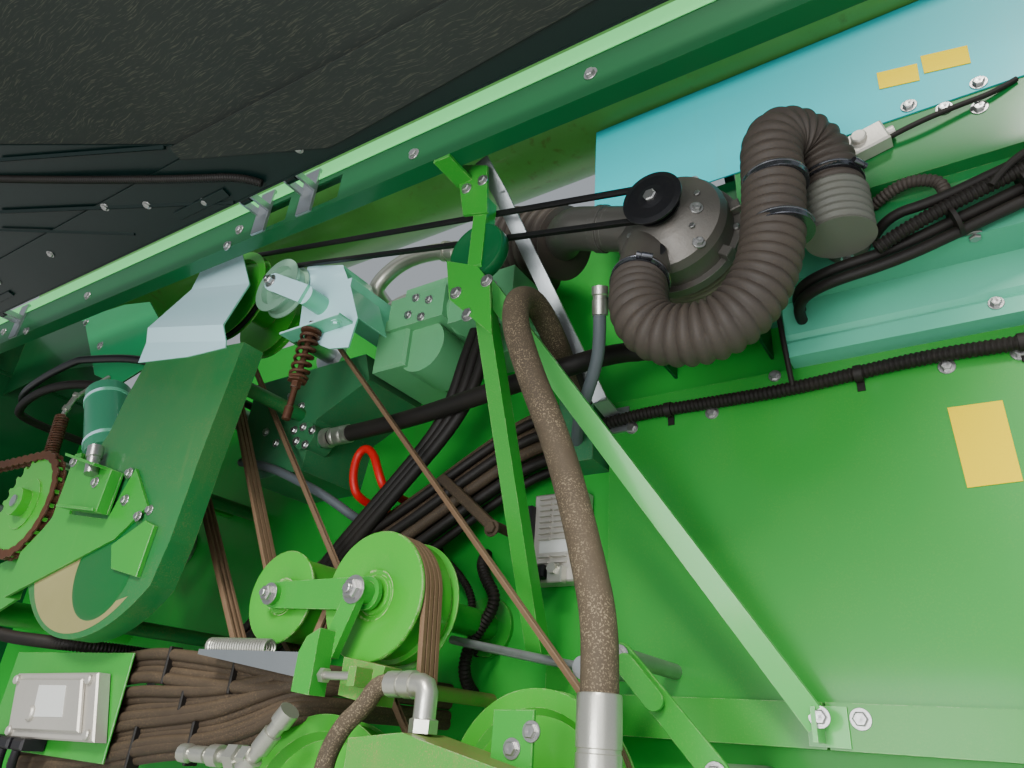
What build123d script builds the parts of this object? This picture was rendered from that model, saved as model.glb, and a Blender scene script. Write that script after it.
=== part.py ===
from build123d import *
from math import atan2, cos, hypot, pi, radians, sin, tan
import os

# Side drive bay of a combine harvester: walls, belt drives, hoses and the raised side cover.
# X runs along the machine, Y points into it, Z is up. The origin is the centre of the four
# mounting holes on the back face of the rear frame.

# Rear frame of square tube, its mounting feet and its end arms
BAY_LEFT = -1450.0
BAY_RIGHT = 1560.0
FRAME_DEPTH = 100.0
UPRIGHT_W = 80.0
UPRIGHT_X = 1100.0
FRAME_LOW = -420.0
FRAME_TOP = 1010.0
TUBE_T = 5.0
FOOT_T = 12.0
FOOT_W = 130.0
FOOT_H = 110.0
HOLE_R = 9.0
HOLE_SPAN_X = 2360.0
HOLE_SPAN_Z = 700.0
ARM_W = 15.0
ARM_H = 60.0
END_DEPTH = 470.0
BACKING_FACE = -400.0

# Walls and pressed panels: front faces, edges and steps
WALL_T = 4.0
SHEET_T = 3.0
WALL_FACE = -(FRAME_DEPTH + WALL_T)
SIDE_FACE = -130.0
SIDE_LEFT = 735.0
SIDE_LOW = 75.0
SIDE_TOP = 600.0
SILL_FACE = -160.0
SILL_LOW = 17.0
SILL_SPLIT = 1075.0
SILL_GAP = 4.0
LEDGE_FACE = -173.0
LEDGE_LEFT = 1082.0
LEDGE_TOP = 706.0
BAND_FACE = -240.0
BAND_TOP = 824.0
UPPER_FACE = -262.0
UPPER_LEFT = 1045.0
UPPER_TOP = 960.0
DECK_LEFT = 762.0
DECK_LOW = 944.0
DECK_TOP = 1185.0
DECK_RETURN = 24.0

# Unloading tube and its saddles
TUBE_R = 190.0
TUBE_WALL = 4.0
TUBE_Y = -230.0
TUBE_Z = 1378.0
SADDLE_T = 20.0
SADDLE_XS = (-1000.0, 1000.0)

# Cover rail: faces and edges at x = 0, before it is tilted; its left end stands higher
RAIL_TILT = 1.43
RAIL_FACE = -550.0
RAIL_BACK = -514.0
RAIL_LOW = 966.0
RAIL_TOP = 1070.0
RAIL_T = 5.0
CAP_H = 28.0
CAP_T = 3.0
WINDOWS = ((60.0, 160.0), (232.0, 320.0))
WINDOW_LOW = 978.0
WINDOW_TOP = 1040.0

# Raised side cover and its hinges
HINGE_Y = -600.0
HINGE_Z = 1030.0
HINGE_XS = (-1084.0, 76.0, 224.0, 1330.0)
HINGE_PIN_R = 6.0
LEAF_T = 6.0
LEAF_W = 44.0
EAR_T = 7.0
COVER_LEFT = -1400.0
COVER_RIGHT = 1530.0
COVER_REACH = 1085.0
COVER_START = 12.0
COVER_RISE = 15.0
COVER_T = 3.0
COVER_LIP = 26.0
RIB_H = 24.0
NEAR_RIB_W = 130.0
RIB_W = 60.0
LINING_T = 12.0

# Gaps: between faces that touch, belts in their grooves, and shafts in their bores
SEAT = 0.3
BELT_GAP = 0.3
FIT = 0.05

# Sheaves and sprockets: centre and running radius of each
SHAFT_R = 14.0
DRIVE_X, DRIVE_Z, DRIVE_R, DRIVE_REAR_R = -140.0, 930.0, 120.0, 99.0
TOP_IDLER_X, TOP_IDLER_Z, TOP_IDLER_R = 54.0, 890.0, 60.0
BLOWER_X, BLOWER_Z, BLOWER_R, BLOWER_CAP_R = 961.0, 779.0, 26.0, 49.0
IDLER_X, IDLER_Z, IDLER_R = 473.0, 189.0, 102.0
SMALL_X, SMALL_Z, SMALL_R = 255.0, 194.0, 71.0
LOWER_X, LOWER_Z, LOWER_R, LOWER_SMALL_R = 421.0, -163.0, 178.0, 90.0
FAN_X, FAN_Z, FAN_R = 728.0, -78.0, 146.0
TRIPLE_X, TRIPLE_Z, TRIPLE_R = -241.0, 684.0, 90.0
SPROCKET_X, SPROCKET_Z = -600.0, 420.0
IDLER_FRONT, IDLER_BACK = -430.0, -340.0
TOP_IDLER_BOLT_R = 9.0
BLOWER_BOLT_R = 8.0
IDLER_BOLT_R = 12.0

# Belt bands: front and back depth, and thickness
BLOWER_BELT = (-444.0, -432.0, 10.0)
LONG_BELT = (-328.0, -312.0, 9.0)
QUAD_BELT = (-425.0, -382.0, 10.0)
TRIPLE_BELT = (-378.0, -343.0, 10.0)
CHAIN_FRONT, CHAIN_BACK = -542.0, -522.0

# Roller chain: pitch, teeth, pitches that lie round each sprocket and along each run, and the
# direction of the far sprocket in degrees; then its rollers and links
CHAIN_PITCH = 31.75
MAIN_TEETH, FAR_TEETH = 24, 12
MAIN_WRAP, FAR_WRAP = 13, 5
CHAIN_RUN = 18
CHAIN_SLOPE = 172.5
ROLLER_R = 9.5
ROLLER_GAP = 1.5
LINK_H, LINK_WAIST, LINK_T = 11.5, 7.5, 3.5
LINK_END = 6.0
SPROCKET_T = 10.0
HUB_R = 33.0

# Post from the rail to the wall, with its head plate
POST_LEFT, POST_RIGHT = 622.0, 652.0
POST_FRONT = -474.0
POST_DEEP = 28.0
POST_TOP = 890.0
POST_BEND = 742.0
POST_FOOT = 128.0
HEAD_T = 6.0

# Belt tensioner, its rod's anchor, and the elbow at the lower middle
TENSION_X, TENSION_Y = 412.0, -490.0
ANCHOR_X = 518.0
ELBOW_X, ELBOW_Y = 650.0, -486.0

# Drive guard and hood at the left
GUARD_FRONT, GUARD_BACK, GUARD_T = -530.0, -480.0, 3.0
HOOD_TILT = 13.5

# Top of the shelf on the chain arm, where the canister's stalk stands
STALK_FOOT = 514.0

# Blower, its bellows and duct
BELLOWS_FRONT, BELLOWS_BACK = -318.0, -240.0
BELLOWS_R, BELLOWS_FOLD = 88.0, 8.0
MOUNT_LEFT, MOUNT_LOW, MOUNT_TOP = 860.0, 640.0, 950.0
DUCT_R = 46.0
DUCT_END_X, DUCT_END_Y, DUCT_END_TOP = 1205.0, -322.0, 783.0
OUTLET_END = (922.0, -402.0, 672.0)
INTAKE_END = (848.0, -362.0, 822.0)
INTAKE_LEAN = 0.386

# Hoses
MAIN_HOSE_R = 22.0
GEAR_HOSE_R = 18.0
BUNDLE_HOSE_R = 13.0
ROW_HOSE_R = 12.0
LEDGE_HOSE_R = 9.0
ELBOW_HOSE_R = 13.0
ROW_HOSE_Y = -450.0


def block(x0, x1, y0, y1, z0, z1):
    """Straight block between two corners."""
    size = (abs(x1 - x0), abs(y1 - y0), abs(z1 - z0))
    return Pos(min(x0, x1), min(y0, y1), min(z0, z1)) * Box(*size, align=(Align.MIN, Align.MIN, Align.MIN))


def plate(points, y0, y1):
    """Flat plate whose outline lies in the XZ plane, between two depths."""
    low, high = min(y0, y1), max(y0, y1)
    face = make_face(Polyline(*[(x, low, z) for x, z in points], close=True))
    return extrude(face, amount=high - low, dir=(0, 1, 0))


def bent(points, x0, x1):
    """Pressed profile in the YZ plane, carried along X."""
    face = make_face(Polyline(*[(x0, y, z) for y, z in points], close=True))
    return extrude(face, amount=x1 - x0, dir=(1, 0, 0))


def rod(a, b, r):
    """Round bar between two points."""
    start, run = Vector(*a), Vector(*b) - Vector(*a)
    bottom = (Align.CENTER, Align.CENTER, Align.MIN)
    return Plane(origin=start, z_dir=run) * Cylinder(r, run.length, align=bottom)


def pin(x, z, r, y0, y1):
    """Round bar along Y."""
    return rod((x, min(y0, y1), z), (x, max(y0, y1), z), r)


def bar_x(x0, x1, y, z, r):
    """Round bar along X."""
    return rod((x0, y, z), (x1, y, z), r)


def strip(a, b, wide, thick, side):
    """Flat bar between two points; side is the direction of its width."""
    start, run = Vector(*a), Vector(*b) - Vector(*a)
    plane = Plane(origin=start, x_dir=Vector(*side), z_dir=run)
    return plane * Box(wide, thick, run.length, align=(Align.CENTER, Align.CENTER, Align.MIN))


def turned(x, z, profile):
    """Body of revolution about a Y axis: the profile lists radius and depth."""
    face = make_face(Polyline(*[(x + r, y, z) for r, y in profile], close=True))
    return revolve(face, Axis((x, 0, z), (0, 1, 0)), 360)


def joined(solids):
    """One solid from pieces that meet."""
    whole = solids[0]
    for solid in solids[1:]:
        whole += solid
    return whole


def hose(points, r, share=0.45):
    """Hose of straight runs joined by arcs; share is how much of a run an arc may take."""
    spots = [Vector(*p) for p in points]
    radii = []
    for before, here, after in zip(spots, spots[1:], spots[2:]):
        turn = radians((here - before).get_angle(after - here))
        radii.append(share * min((here - before).length, (after - here).length) / tan(turn / 2))
    path = FilletPolyline(*spots, radius=radii)
    print("hose arcs, mm:", [round(value) for value in radii])
    start = Plane(origin=path @ 0, z_dir=path % 0)
    return sweep(start * Circle(r), path=path)


def loop_line(stops, y):
    """Closed line of tangents and arcs round circles, in the XZ plane at one depth.
    A stop is x, z, radius and side: side 1 has the circle inside the loop, -1 outside."""
    count = len(stops)
    leave, arrive = [None] * count, [None] * count
    for i, (x1, z1, r1, s1) in enumerate(stops):
        j = (i + 1) % count
        x2, z2, r2, s2 = stops[j]
        span = hypot(x2 - x1, z2 - z1)
        dx, dz = (x2 - x1) / span, (z2 - z1) / span
        lean = (s1 * r1 - s2 * r2) / span
        flat = (1 - lean ** 2) ** 0.5
        nx, nz = flat * dz + lean * dx, -flat * dx + lean * dz
        leave[i] = (x1 + s1 * r1 * nx, z1 + s1 * r1 * nz)
        arrive[j] = (x2 + s2 * r2 * nx, z2 + s2 * r2 * nz)
    edges = []
    for i, (x, z, r, side) in enumerate(stops):
        first = atan2(arrive[i][1] - z, arrive[i][0] - x)
        last = atan2(leave[i][1] - z, leave[i][0] - x)
        turn = (last - first) % (2 * pi) if side > 0 else -((first - last) % (2 * pi))
        middle = (x + r * cos(first + turn / 2), y, z + r * sin(first + turn / 2))
        start, end = (arrive[i][0], y, arrive[i][1]), (leave[i][0], y, leave[i][1])
        follow = arrive[(i + 1) % count]
        edges.append(ThreePointArc(start, middle, end))
        edges.append(Line(end, (follow[0], y, follow[1])))
    return edges


def belt(stops, band):
    """Belt round pulleys: a stop is x, z, running radius and side, as in loop_line."""
    front, back, thick = band
    inner = [(x, z, r if side > 0 else r + thick, side) for x, z, r, side in stops]
    outer = [(x, z, r + thick if side > 0 else r, side) for x, z, r, side in stops]
    face = make_face(loop_line(outer, front)) - make_face(loop_line(inner, front))
    return extrude(face, amount=back - front, dir=(0, 1, 0))


def rail_drop(x):
    """How much lower the tilted rail and cover lie at x than at the middle."""
    return x * tan(radians(RAIL_TILT))


def tilted(shape):
    """Turn a piece of the rail or cover from level to the rail's slope."""
    return shape.rotate(Axis((0, 0, RAIL_TOP), (0, 1, 0)), RAIL_TILT)


def raised(shape):
    """Turn a piece of the cover from level to where the open cover stands."""
    return tilted(shape.rotate(Axis((0, HINGE_Y, HINGE_Z), (1, 0, 0)), -COVER_RISE))


def frame_members(spare):
    """The two uprights and two cross rails, each shrunk by a wall all round."""
    half = UPRIGHT_W / 2 - spare
    members = []
    for side in (-1, 1):
        x = side * UPRIGHT_X
        members.append(block(x - half, x + half, spare - FRAME_DEPTH, -spare, FRAME_LOW + spare, FRAME_TOP - spare))
    for low in (FRAME_LOW, FRAME_TOP - UPRIGHT_W):
        members.append(block(BAY_LEFT, BAY_RIGHT, spare - FRAME_DEPTH, -spare, low + spare, low + UPRIGHT_W - spare))
    return joined(members)


def end_arm(x0):
    """Arm from the top of the frame out to the back of the rail's web."""
    middle = (RAIL_LOW + RAIL_TOP) / 2 - rail_drop(x0 + ARM_W / 2)
    web = RAIL_FACE + RAIL_T
    outline = [(0, FRAME_TOP), (0, FRAME_TOP + 80), (-300, FRAME_TOP + 70), (web, middle + ARM_H / 2),
               (web, middle - ARM_H / 2), (-300, FRAME_TOP), (-FRAME_DEPTH, FRAME_TOP)]
    return bent(outline, x0, x0 + ARM_W)


def rear_frame():
    """Welded frame of tube, with a bolted foot at each corner and an arm at each end."""
    shape = frame_members(0) - frame_members(TUBE_T)
    inner = UPRIGHT_X + UPRIGHT_W / 2
    for side in (-1, 1):
        for level in (-1, 1):
            x, z = side * HOLE_SPAN_X / 2, level * HOLE_SPAN_Z / 2
            shape += block(side * inner, side * (inner + FOOT_W), -FOOT_T, 0, z - FOOT_H / 2, z + FOOT_H / 2)
            shape -= pin(x, z, HOLE_R, -FOOT_T - 1, 1)
    for x in (BAY_LEFT, BAY_RIGHT - ARM_W):
        shape += end_arm(x)
    return shape


def tube_saddles():
    """Two upright plates that stand on the top cross rail and cradle the tube."""
    seat = TUBE_R + SEAT
    saddles = []
    for x in SADDLE_XS:
        outline = [(0, FRAME_TOP), (0, TUBE_Z), (TUBE_Y + seat + 30, TUBE_Z), (TUBE_Y, TUBE_Z),
                   (TUBE_Y, TUBE_Z - seat - 30), (TUBE_Y + 60, TUBE_Z - seat - 60), (-FRAME_DEPTH, FRAME_TOP)]
        body = bent(outline, x - SADDLE_T / 2, x + SADDLE_T / 2)
        saddles.append(body - bar_x(x - SADDLE_T, x + SADDLE_T, TUBE_Y, TUBE_Z, seat))
    return saddles


def inner_wall():
    """Back sheet of the bay."""
    return block(BAY_LEFT, BAY_RIGHT, WALL_FACE, -FRAME_DEPTH, FRAME_LOW, FRAME_TOP)


def end_panel():
    """Bulkhead sheet across the left end of the bay, and the plate behind the guard on its bars."""
    sheet = block(BAY_LEFT, BAY_LEFT + WALL_T, -END_DEPTH, WALL_FACE, FRAME_LOW, FRAME_TOP)
    backing = plate([(-1083, 1141), (-791, 1116), (-640, 1082), (-500, 949), (-518, 843), (-657, 811),
                     (-818, 878), (-1024, 1118)], BACKING_FACE, BACKING_FACE + WALL_T)
    for x, z in ((-850, 985), (-560, 900)):
        backing += pin(x, z, 14, BACKING_FACE, WALL_FACE)
    return sheet, backing


def side_sheet():
    """Large smooth sheet at the right, with its left edge folded back to the wall."""
    face = block(SIDE_LEFT, BAY_RIGHT, SIDE_FACE, SIDE_FACE + SHEET_T, SIDE_LOW, SIDE_TOP)
    return face + block(SIDE_LEFT, SIDE_LEFT + SHEET_T, SIDE_FACE, WALL_FACE, SIDE_LOW, SIDE_TOP)


def sill():
    """Channel under the side sheet, in two lengths."""
    lengths = ((SIDE_LEFT, SILL_SPLIT - SILL_GAP / 2), (SILL_SPLIT + SILL_GAP / 2, BAY_RIGHT))
    pieces = []
    for x0, x1 in lengths:
        web = block(x0, x1, SILL_FACE, SILL_FACE + SHEET_T, SILL_LOW, SIDE_LOW)
        top = block(x0, x1, SILL_FACE, WALL_FACE, SIDE_LOW - SHEET_T, SIDE_LOW)
        low = block(x0, x1, SILL_FACE, WALL_FACE, SILL_LOW, SILL_LOW + SHEET_T)
        pieces.append(web + top + low)
    return pieces


def ledge_stack():
    """Pressed ledges above the side sheet, each stepping further out than the one below."""
    t, groove_z = SHEET_T, SIDE_TOP + 34
    lower = [
        (WALL_FACE, SIDE_TOP), (LEDGE_FACE, SIDE_TOP), (LEDGE_FACE, groove_z - 8), (LEDGE_FACE + 7, groove_z),
        (LEDGE_FACE, groove_z + 8), (LEDGE_FACE, LEDGE_TOP - t), (WALL_FACE, LEDGE_TOP - t),
        (WALL_FACE, LEDGE_TOP - 2 * t), (LEDGE_FACE + t, LEDGE_TOP - 2 * t), (LEDGE_FACE + t, groove_z + 9),
        (LEDGE_FACE + 7 + t, groove_z), (LEDGE_FACE + t, groove_z - 9), (LEDGE_FACE + t, SIDE_TOP + t),
        (WALL_FACE, SIDE_TOP + t),
    ]
    upper = [
        (WALL_FACE, LEDGE_TOP - t), (BAND_FACE, LEDGE_TOP - t), (BAND_FACE, BAND_TOP - t),
        (UPPER_FACE, BAND_TOP), (UPPER_FACE, UPPER_TOP), (WALL_FACE, UPPER_TOP), (WALL_FACE, UPPER_TOP - t),
        (UPPER_FACE + t, UPPER_TOP - t), (UPPER_FACE + t, BAND_TOP + t), (BAND_FACE + t, BAND_TOP),
        (BAND_FACE + t, LEDGE_TOP), (WALL_FACE, LEDGE_TOP),
    ]
    return bent(lower, LEDGE_LEFT, BAY_RIGHT), bent(upper, UPPER_LEFT, BAY_RIGHT)


def deck_panel():
    """Bright panel above the ledges, lapped over the top band, with its upper edge turned in."""
    right = BAY_RIGHT - ARM_W - 5
    front = UPPER_FACE - SHEET_T
    face = block(DECK_LEFT, right, front, UPPER_FACE, DECK_LOW, DECK_TOP)
    return face + block(DECK_LEFT, right, front, front + DECK_RETURN, DECK_TOP - SHEET_T, DECK_TOP)


def unloading_tube():
    """Long unloading tube along the machine, above the bay."""
    outer = bar_x(BAY_LEFT, BAY_RIGHT, TUBE_Y, TUBE_Z, TUBE_R)
    return outer - bar_x(BAY_LEFT, BAY_RIGHT, TUBE_Y, TUBE_Z, TUBE_R - TUBE_WALL)


def cover_rail():
    """Channel rail in front of the tube, with two windows in its web and a cap strip above."""
    web = block(BAY_LEFT, BAY_RIGHT, RAIL_FACE, RAIL_FACE + RAIL_T, RAIL_LOW, RAIL_TOP)
    low = block(BAY_LEFT, BAY_RIGHT, RAIL_FACE, RAIL_BACK, RAIL_LOW, RAIL_LOW + RAIL_T)
    top = block(BAY_LEFT, BAY_RIGHT, RAIL_FACE, RAIL_BACK, RAIL_TOP - RAIL_T, RAIL_TOP)
    cap = block(BAY_LEFT, BAY_RIGHT, RAIL_FACE + RAIL_T, RAIL_FACE + RAIL_T + CAP_T, RAIL_TOP, RAIL_TOP + CAP_H)
    rail = joined([web, low, top, cap])
    for x0, x1 in WINDOWS:
        rail -= block(x0, x1, RAIL_FACE - 1, RAIL_FACE + RAIL_T + 1, WINDOW_LOW, WINDOW_TOP)
    return tilted(rail)


def hinge_brackets():
    """Zinc-plated hinge leaves bolted to the rail, each with two ears and its pin."""
    half = LEAF_W / 2
    leaves = []
    for x in HINGE_XS:
        leaf = block(x - half, x + half, RAIL_FACE - LEAF_T, RAIL_FACE, RAIL_LOW + 2, RAIL_TOP + 12)
        for side in (-1, 1):
            outer = x + side * half
            leaf += block(outer - side * EAR_T, outer, HINGE_Y, RAIL_FACE - LEAF_T, HINGE_Z - 8, HINGE_Z + 8)
            leaf += bar_x(min(outer, outer - side * EAR_T), max(outer, outer - side * EAR_T), HINGE_Y, HINGE_Z, 8)
        leaf += bar_x(x - half, x + half, HINGE_Y, HINGE_Z, HINGE_PIN_R)
        leaves.append(tilted(leaf))
    return leaves


def cover_skin():
    """Outer panel of the side cover, with turned-down edges and a hinge eye at each bracket."""
    near, far = HINGE_Y - COVER_START, HINGE_Y - COVER_REACH
    skin = block(COVER_LEFT, COVER_RIGHT, far, near, HINGE_Z, HINGE_Z + COVER_T)
    skin += block(COVER_LEFT, COVER_RIGHT, far, far + COVER_T, HINGE_Z - RIB_H, HINGE_Z)
    skin += block(COVER_LEFT, COVER_RIGHT, near, near + COVER_T, HINGE_Z - COVER_LIP, HINGE_Z + COVER_T)
    reach = LEAF_W / 2 - EAR_T - 1
    for x in HINGE_XS:
        skin += block(x - reach, x + reach, near, HINGE_Y, HINGE_Z - 5, HINGE_Z + COVER_T)
        skin += bar_x(x - reach, x + reach, HINGE_Y, HINGE_Z, 11)
        skin -= bar_x(x - reach - 1, x + reach + 1, HINGE_Y, HINGE_Z, HINGE_PIN_R + FIT)
    return raised(skin)


def cover_window():
    """Corners of the lined field inside the cover's frame."""
    near, far = HINGE_Y - COVER_START, HINGE_Y - COVER_REACH
    return (COVER_LEFT + RIB_W, COVER_RIGHT - RIB_W, far + COVER_T + RIB_W, near - NEAR_RIB_W)


def cover_ribs():
    """Pressed frame under the cover's skin, wide along the hinge."""
    near, far = HINGE_Y - COVER_START, HINGE_Y - COVER_REACH
    x0, x1, y0, y1 = cover_window()
    low, t = HINGE_Z - RIB_H, SHEET_T
    ring = block(COVER_LEFT, COVER_RIGHT, far + COVER_T, near, low, HINGE_Z)
    ring -= block(x0, x1, y0, y1, low - 1, HINGE_Z + 1)
    trough = block(COVER_LEFT + t, COVER_RIGHT - t, far + COVER_T + t, near - t, low + t, HINGE_Z + 1)
    trough -= block(x0 - t, x1 + t, y0 - t, y1 + t, low, HINGE_Z + 2)
    return raised(ring - trough)


def cover_lining():
    """Sound-deadening mat that fills the field of the cover's frame."""
    x0, x1, y0, y1 = cover_window()
    high = HINGE_Z - SEAT
    return raised(block(x0 + SEAT, x1 - SEAT, y0 + SEAT, y1 - SEAT, high - LINING_T, high))


def groove(front, back, rim, floor):
    """Outline points of one belt groove, from front to back, with leaning walls."""
    return [(rim, front - 3), (floor, front - 0.5), (floor, back + 0.5), (rim, back + 3)]


def drive_pulley():
    """Double sheave on the drive shaft: large grooved front, smaller rear, one hub."""
    front, back, thick = BLOWER_BELT
    rear_front, rear_back, rear_thick = LONG_BELT
    bore, floor = SHAFT_R + FIT, DRIVE_R - thick - BELT_GAP
    rear = DRIVE_REAR_R - BELT_GAP
    profile = [(bore, front + 2), (34, front + 2), (34, front + 6), (floor - 14, front + 6), (floor - 10, front - 5)]
    profile += [(DRIVE_R, front - 5)] + groove(front, back, DRIVE_R, floor)
    profile += [(DRIVE_R, back + 5), (floor - 12, back + 5), (floor - 12, back - 2), (34, back - 2)]
    profile += [(34, rear_front - 4), (rear + rear_thick, rear_front - 5)]
    profile += groove(rear_front, rear_back, rear + rear_thick, rear)
    profile += [(rear + rear_thick, rear_back + 5), (bore, rear_back + 5)]
    return turned(DRIVE_X, DRIVE_Z, profile)


def top_idler():
    """Flanged back-side idler of the blower belt."""
    front, back, thick = BLOWER_BELT
    drum, rim, bore = TOP_IDLER_R - BELT_GAP, TOP_IDLER_R + 8, TOP_IDLER_BOLT_R + FIT
    profile = [(bore, front - 12), (26, front - 12), (30, front - 4), (48, front - 4), (50, front - 18),
               (rim, front - 18), (rim, front - 15), (drum, front - 2), (drum, back + 1), (rim, back + 4),
               (rim, back + 6), (bore, back + 6)]
    return turned(TOP_IDLER_X, TOP_IDLER_Z, profile)


def blower_pulley():
    """Small black sheave with a domed cap on the blower's nose."""
    front, back, thick = BLOWER_BELT
    bore, floor = BLOWER_BOLT_R + FIT, BLOWER_R - BELT_GAP
    profile = [(bore, front - 12), (12, front - 12), (22, front - 10), (40, front - 9), (BLOWER_CAP_R, front - 7),
               (BLOWER_CAP_R, front - 4), (40, front - 2), (floor, front - 0.5), (floor, back + 0.5),
               (38, back + 3), (38, back + 6), (bore, back + 6)]
    return turned(BLOWER_X, BLOWER_Z, profile)


def idler_large():
    """Wide grooved idler with a dished front."""
    front, back, thick = QUAD_BELT
    bore, floor = IDLER_BOLT_R + FIT, IDLER_R - thick - BELT_GAP
    profile = [(bore, IDLER_FRONT), (30, IDLER_FRONT), (34, IDLER_FRONT + 8), (78, IDLER_FRONT + 12),
               (84, IDLER_FRONT), (IDLER_R, IDLER_FRONT), (IDLER_R, IDLER_FRONT + 3), (floor, front - 0.5),
               (floor, back + 0.5), (IDLER_R - 4, back + 4), (IDLER_R - 4, IDLER_BACK - 16),
               (floor, IDLER_BACK - 12), (floor, IDLER_BACK - 5), (IDLER_R, IDLER_BACK - 2),
               (IDLER_R, IDLER_BACK), (bore, IDLER_BACK)]
    return turned(IDLER_X, IDLER_Z, profile)


def idler_small():
    """Flat drum idler with a dished front."""
    bore, drum = IDLER_BOLT_R + FIT, SMALL_R - BELT_GAP
    rim = drum + 8
    profile = [(bore, IDLER_FRONT), (28, IDLER_FRONT), (31, IDLER_FRONT + 8), (54, IDLER_FRONT + 10),
               (58, IDLER_FRONT), (rim, IDLER_FRONT), (rim, IDLER_FRONT + 3), (drum, IDLER_FRONT + 6),
               (drum, IDLER_BACK), (bore, IDLER_BACK)]
    return turned(SMALL_X, SMALL_Z, profile)


def lower_pulley():
    """Large lower sheave for the four-strand belt, with the smaller sheave of the triple belt behind."""
    front, back, thick = QUAD_BELT
    rear_front, rear_back, rear_thick = TRIPLE_BELT
    bore, floor = SHAFT_R + FIT, LOWER_R - thick - BELT_GAP
    rear, rim = LOWER_SMALL_R - BELT_GAP, LOWER_SMALL_R - BELT_GAP + rear_thick
    profile = [(bore, front - 5), (40, front - 5), (46, front + 8), (floor - 24, front + 12), (floor - 14, front - 5),
               (LOWER_R, front - 5), (LOWER_R, front - 3), (floor, front - 0.5), (floor, back + 0.2),
               (LOWER_R - 6, back + 1.5), (LOWER_R - 6, back + 2), (rear, back + 2), (rear, rear_back + 1),
               (rim, rear_back + 4), (rim, rear_back + 7), (bore, rear_back + 7)]
    return turned(LOWER_X, LOWER_Z, profile)


def fan_pulley():
    """Sheave at the lower right, driven by the long belt."""
    front, back, thick = LONG_BELT
    bore, floor = SHAFT_R + FIT, FAN_R - thick - BELT_GAP
    profile = [(bore, front - 30), (36, front - 30), (40, front - 2), (floor - 26, front + 2),
               (floor - 16, front - 6), (FAN_R, front - 6), (FAN_R, front - 3), (floor, front - 0.5),
               (floor, back + 0.5), (FAN_R, back + 3), (FAN_R, back + 6), (floor - 14, back + 6),
               (floor - 22, back - 4), (36, back - 4), (36, back + 6), (bore, back + 6)]
    return turned(FAN_X, FAN_Z, profile)


def triple_pulley():
    """Upper sheave of the triple belt, behind the guard."""
    front, back, thick = TRIPLE_BELT
    bore, floor = SHAFT_R + FIT, TRIPLE_R - thick - BELT_GAP
    profile = [(bore, front - 6), (TRIPLE_R, front - 6)] + groove(front, back, TRIPLE_R, floor)
    profile += [(TRIPLE_R, back + 6), (bore, back + 6)]
    return turned(TRIPLE_X, TRIPLE_Z, profile)


def pitch_radius(teeth):
    """Radius of the rollers' centres round a sprocket."""
    return CHAIN_PITCH / (2 * sin(pi / teeth))


def sprocket_rows():
    """Centre, teeth, wrapped pitches and outward direction of both sprockets; the far one stands
    where the two runs between them are a whole number of pitches long."""
    main_half, far_half = MAIN_WRAP * pi / MAIN_TEETH, FAR_WRAP * pi / FAR_TEETH
    main_r, far_r = pitch_radius(MAIN_TEETH), pitch_radius(FAR_TEETH)
    drop = main_r * sin(main_half) - far_r * sin(far_half)
    run = ((CHAIN_RUN * CHAIN_PITCH) ** 2 - drop ** 2) ** 0.5
    span = run - far_r * cos(far_half) - main_r * cos(main_half)
    slope = radians(CHAIN_SLOPE)
    far_x, far_z = SPROCKET_X + span * cos(slope), SPROCKET_Z + span * sin(slope)
    return ((SPROCKET_X, SPROCKET_Z, MAIN_TEETH, MAIN_WRAP, slope + pi),
            (far_x, far_z, FAR_TEETH, FAR_WRAP, slope))


def chain_pins():
    """Centres of the rollers, in order round the loop."""
    wraps = []
    for x, z, teeth, wrap, away in sprocket_rows():
        r, step = pitch_radius(teeth), 2 * pi / teeth
        first = away - wrap * step / 2
        wraps.append([(x + r * cos(first + k * step), z + r * sin(first + k * step)) for k in range(wrap + 1)])
    pins = []
    for here, there in (wraps, wraps[::-1]):
        (x0, z0), (x1, z1) = here[-1], there[0]
        steps = [k / CHAIN_RUN for k in range(1, CHAIN_RUN)]
        pins += here + [(x0 + (x1 - x0) * t, z0 + (z1 - z0) * t) for t in steps]
    return pins


def tooth_disc(x, z, teeth, phase):
    """Toothed disc: its gaps hold rollers at the phase angle and every tooth further."""
    r, gap = pitch_radius(teeth), ROLLER_R + ROLLER_GAP
    flank = ((5, -gap - 1.3), (0, -gap), (-0.83 * gap, -0.56 * gap), (-gap, 0),
             (-0.83 * gap, 0.56 * gap), (0, gap), (5, gap + 1.3))
    outline = []
    for k in range(teeth):
        a = phase + k * 2 * pi / teeth
        outline += [(x + (r + out) * cos(a) - side * sin(a), z + (r + out) * sin(a) + side * cos(a))
                    for out, side in flank]
    middle = (CHAIN_FRONT + CHAIN_BACK) / 2
    return plate(outline, middle - SPROCKET_T / 2, middle + SPROCKET_T / 2)


def toothed_wheel(row, hub_r, boss_r, front):
    """Sprocket from its row: toothed disc, boss and bored hub."""
    x, z, teeth, wrap, away = row
    middle, back = (CHAIN_FRONT + CHAIN_BACK) / 2, CHAIN_BACK + 8
    wheel = tooth_disc(x, z, teeth, away + (wrap % 2) * pi / teeth)
    wheel += pin(x, z, boss_r, middle - SPROCKET_T / 2 - 3, middle + SPROCKET_T / 2 + 3)
    wheel += pin(x, z, hub_r, front, back)
    return wheel - pin(x, z, SHAFT_R + FIT, front - 1, back + 1)


def sprocket():
    """Main chain sprocket with its long hub."""
    return toothed_wheel(sprocket_rows()[0], HUB_R, 62, CHAIN_FRONT - 20)


def far_sprocket():
    """Smaller sprocket at the far end of the chain."""
    return toothed_wheel(sprocket_rows()[1], HUB_R - 5, 40, CHAIN_FRONT - 4)


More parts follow.
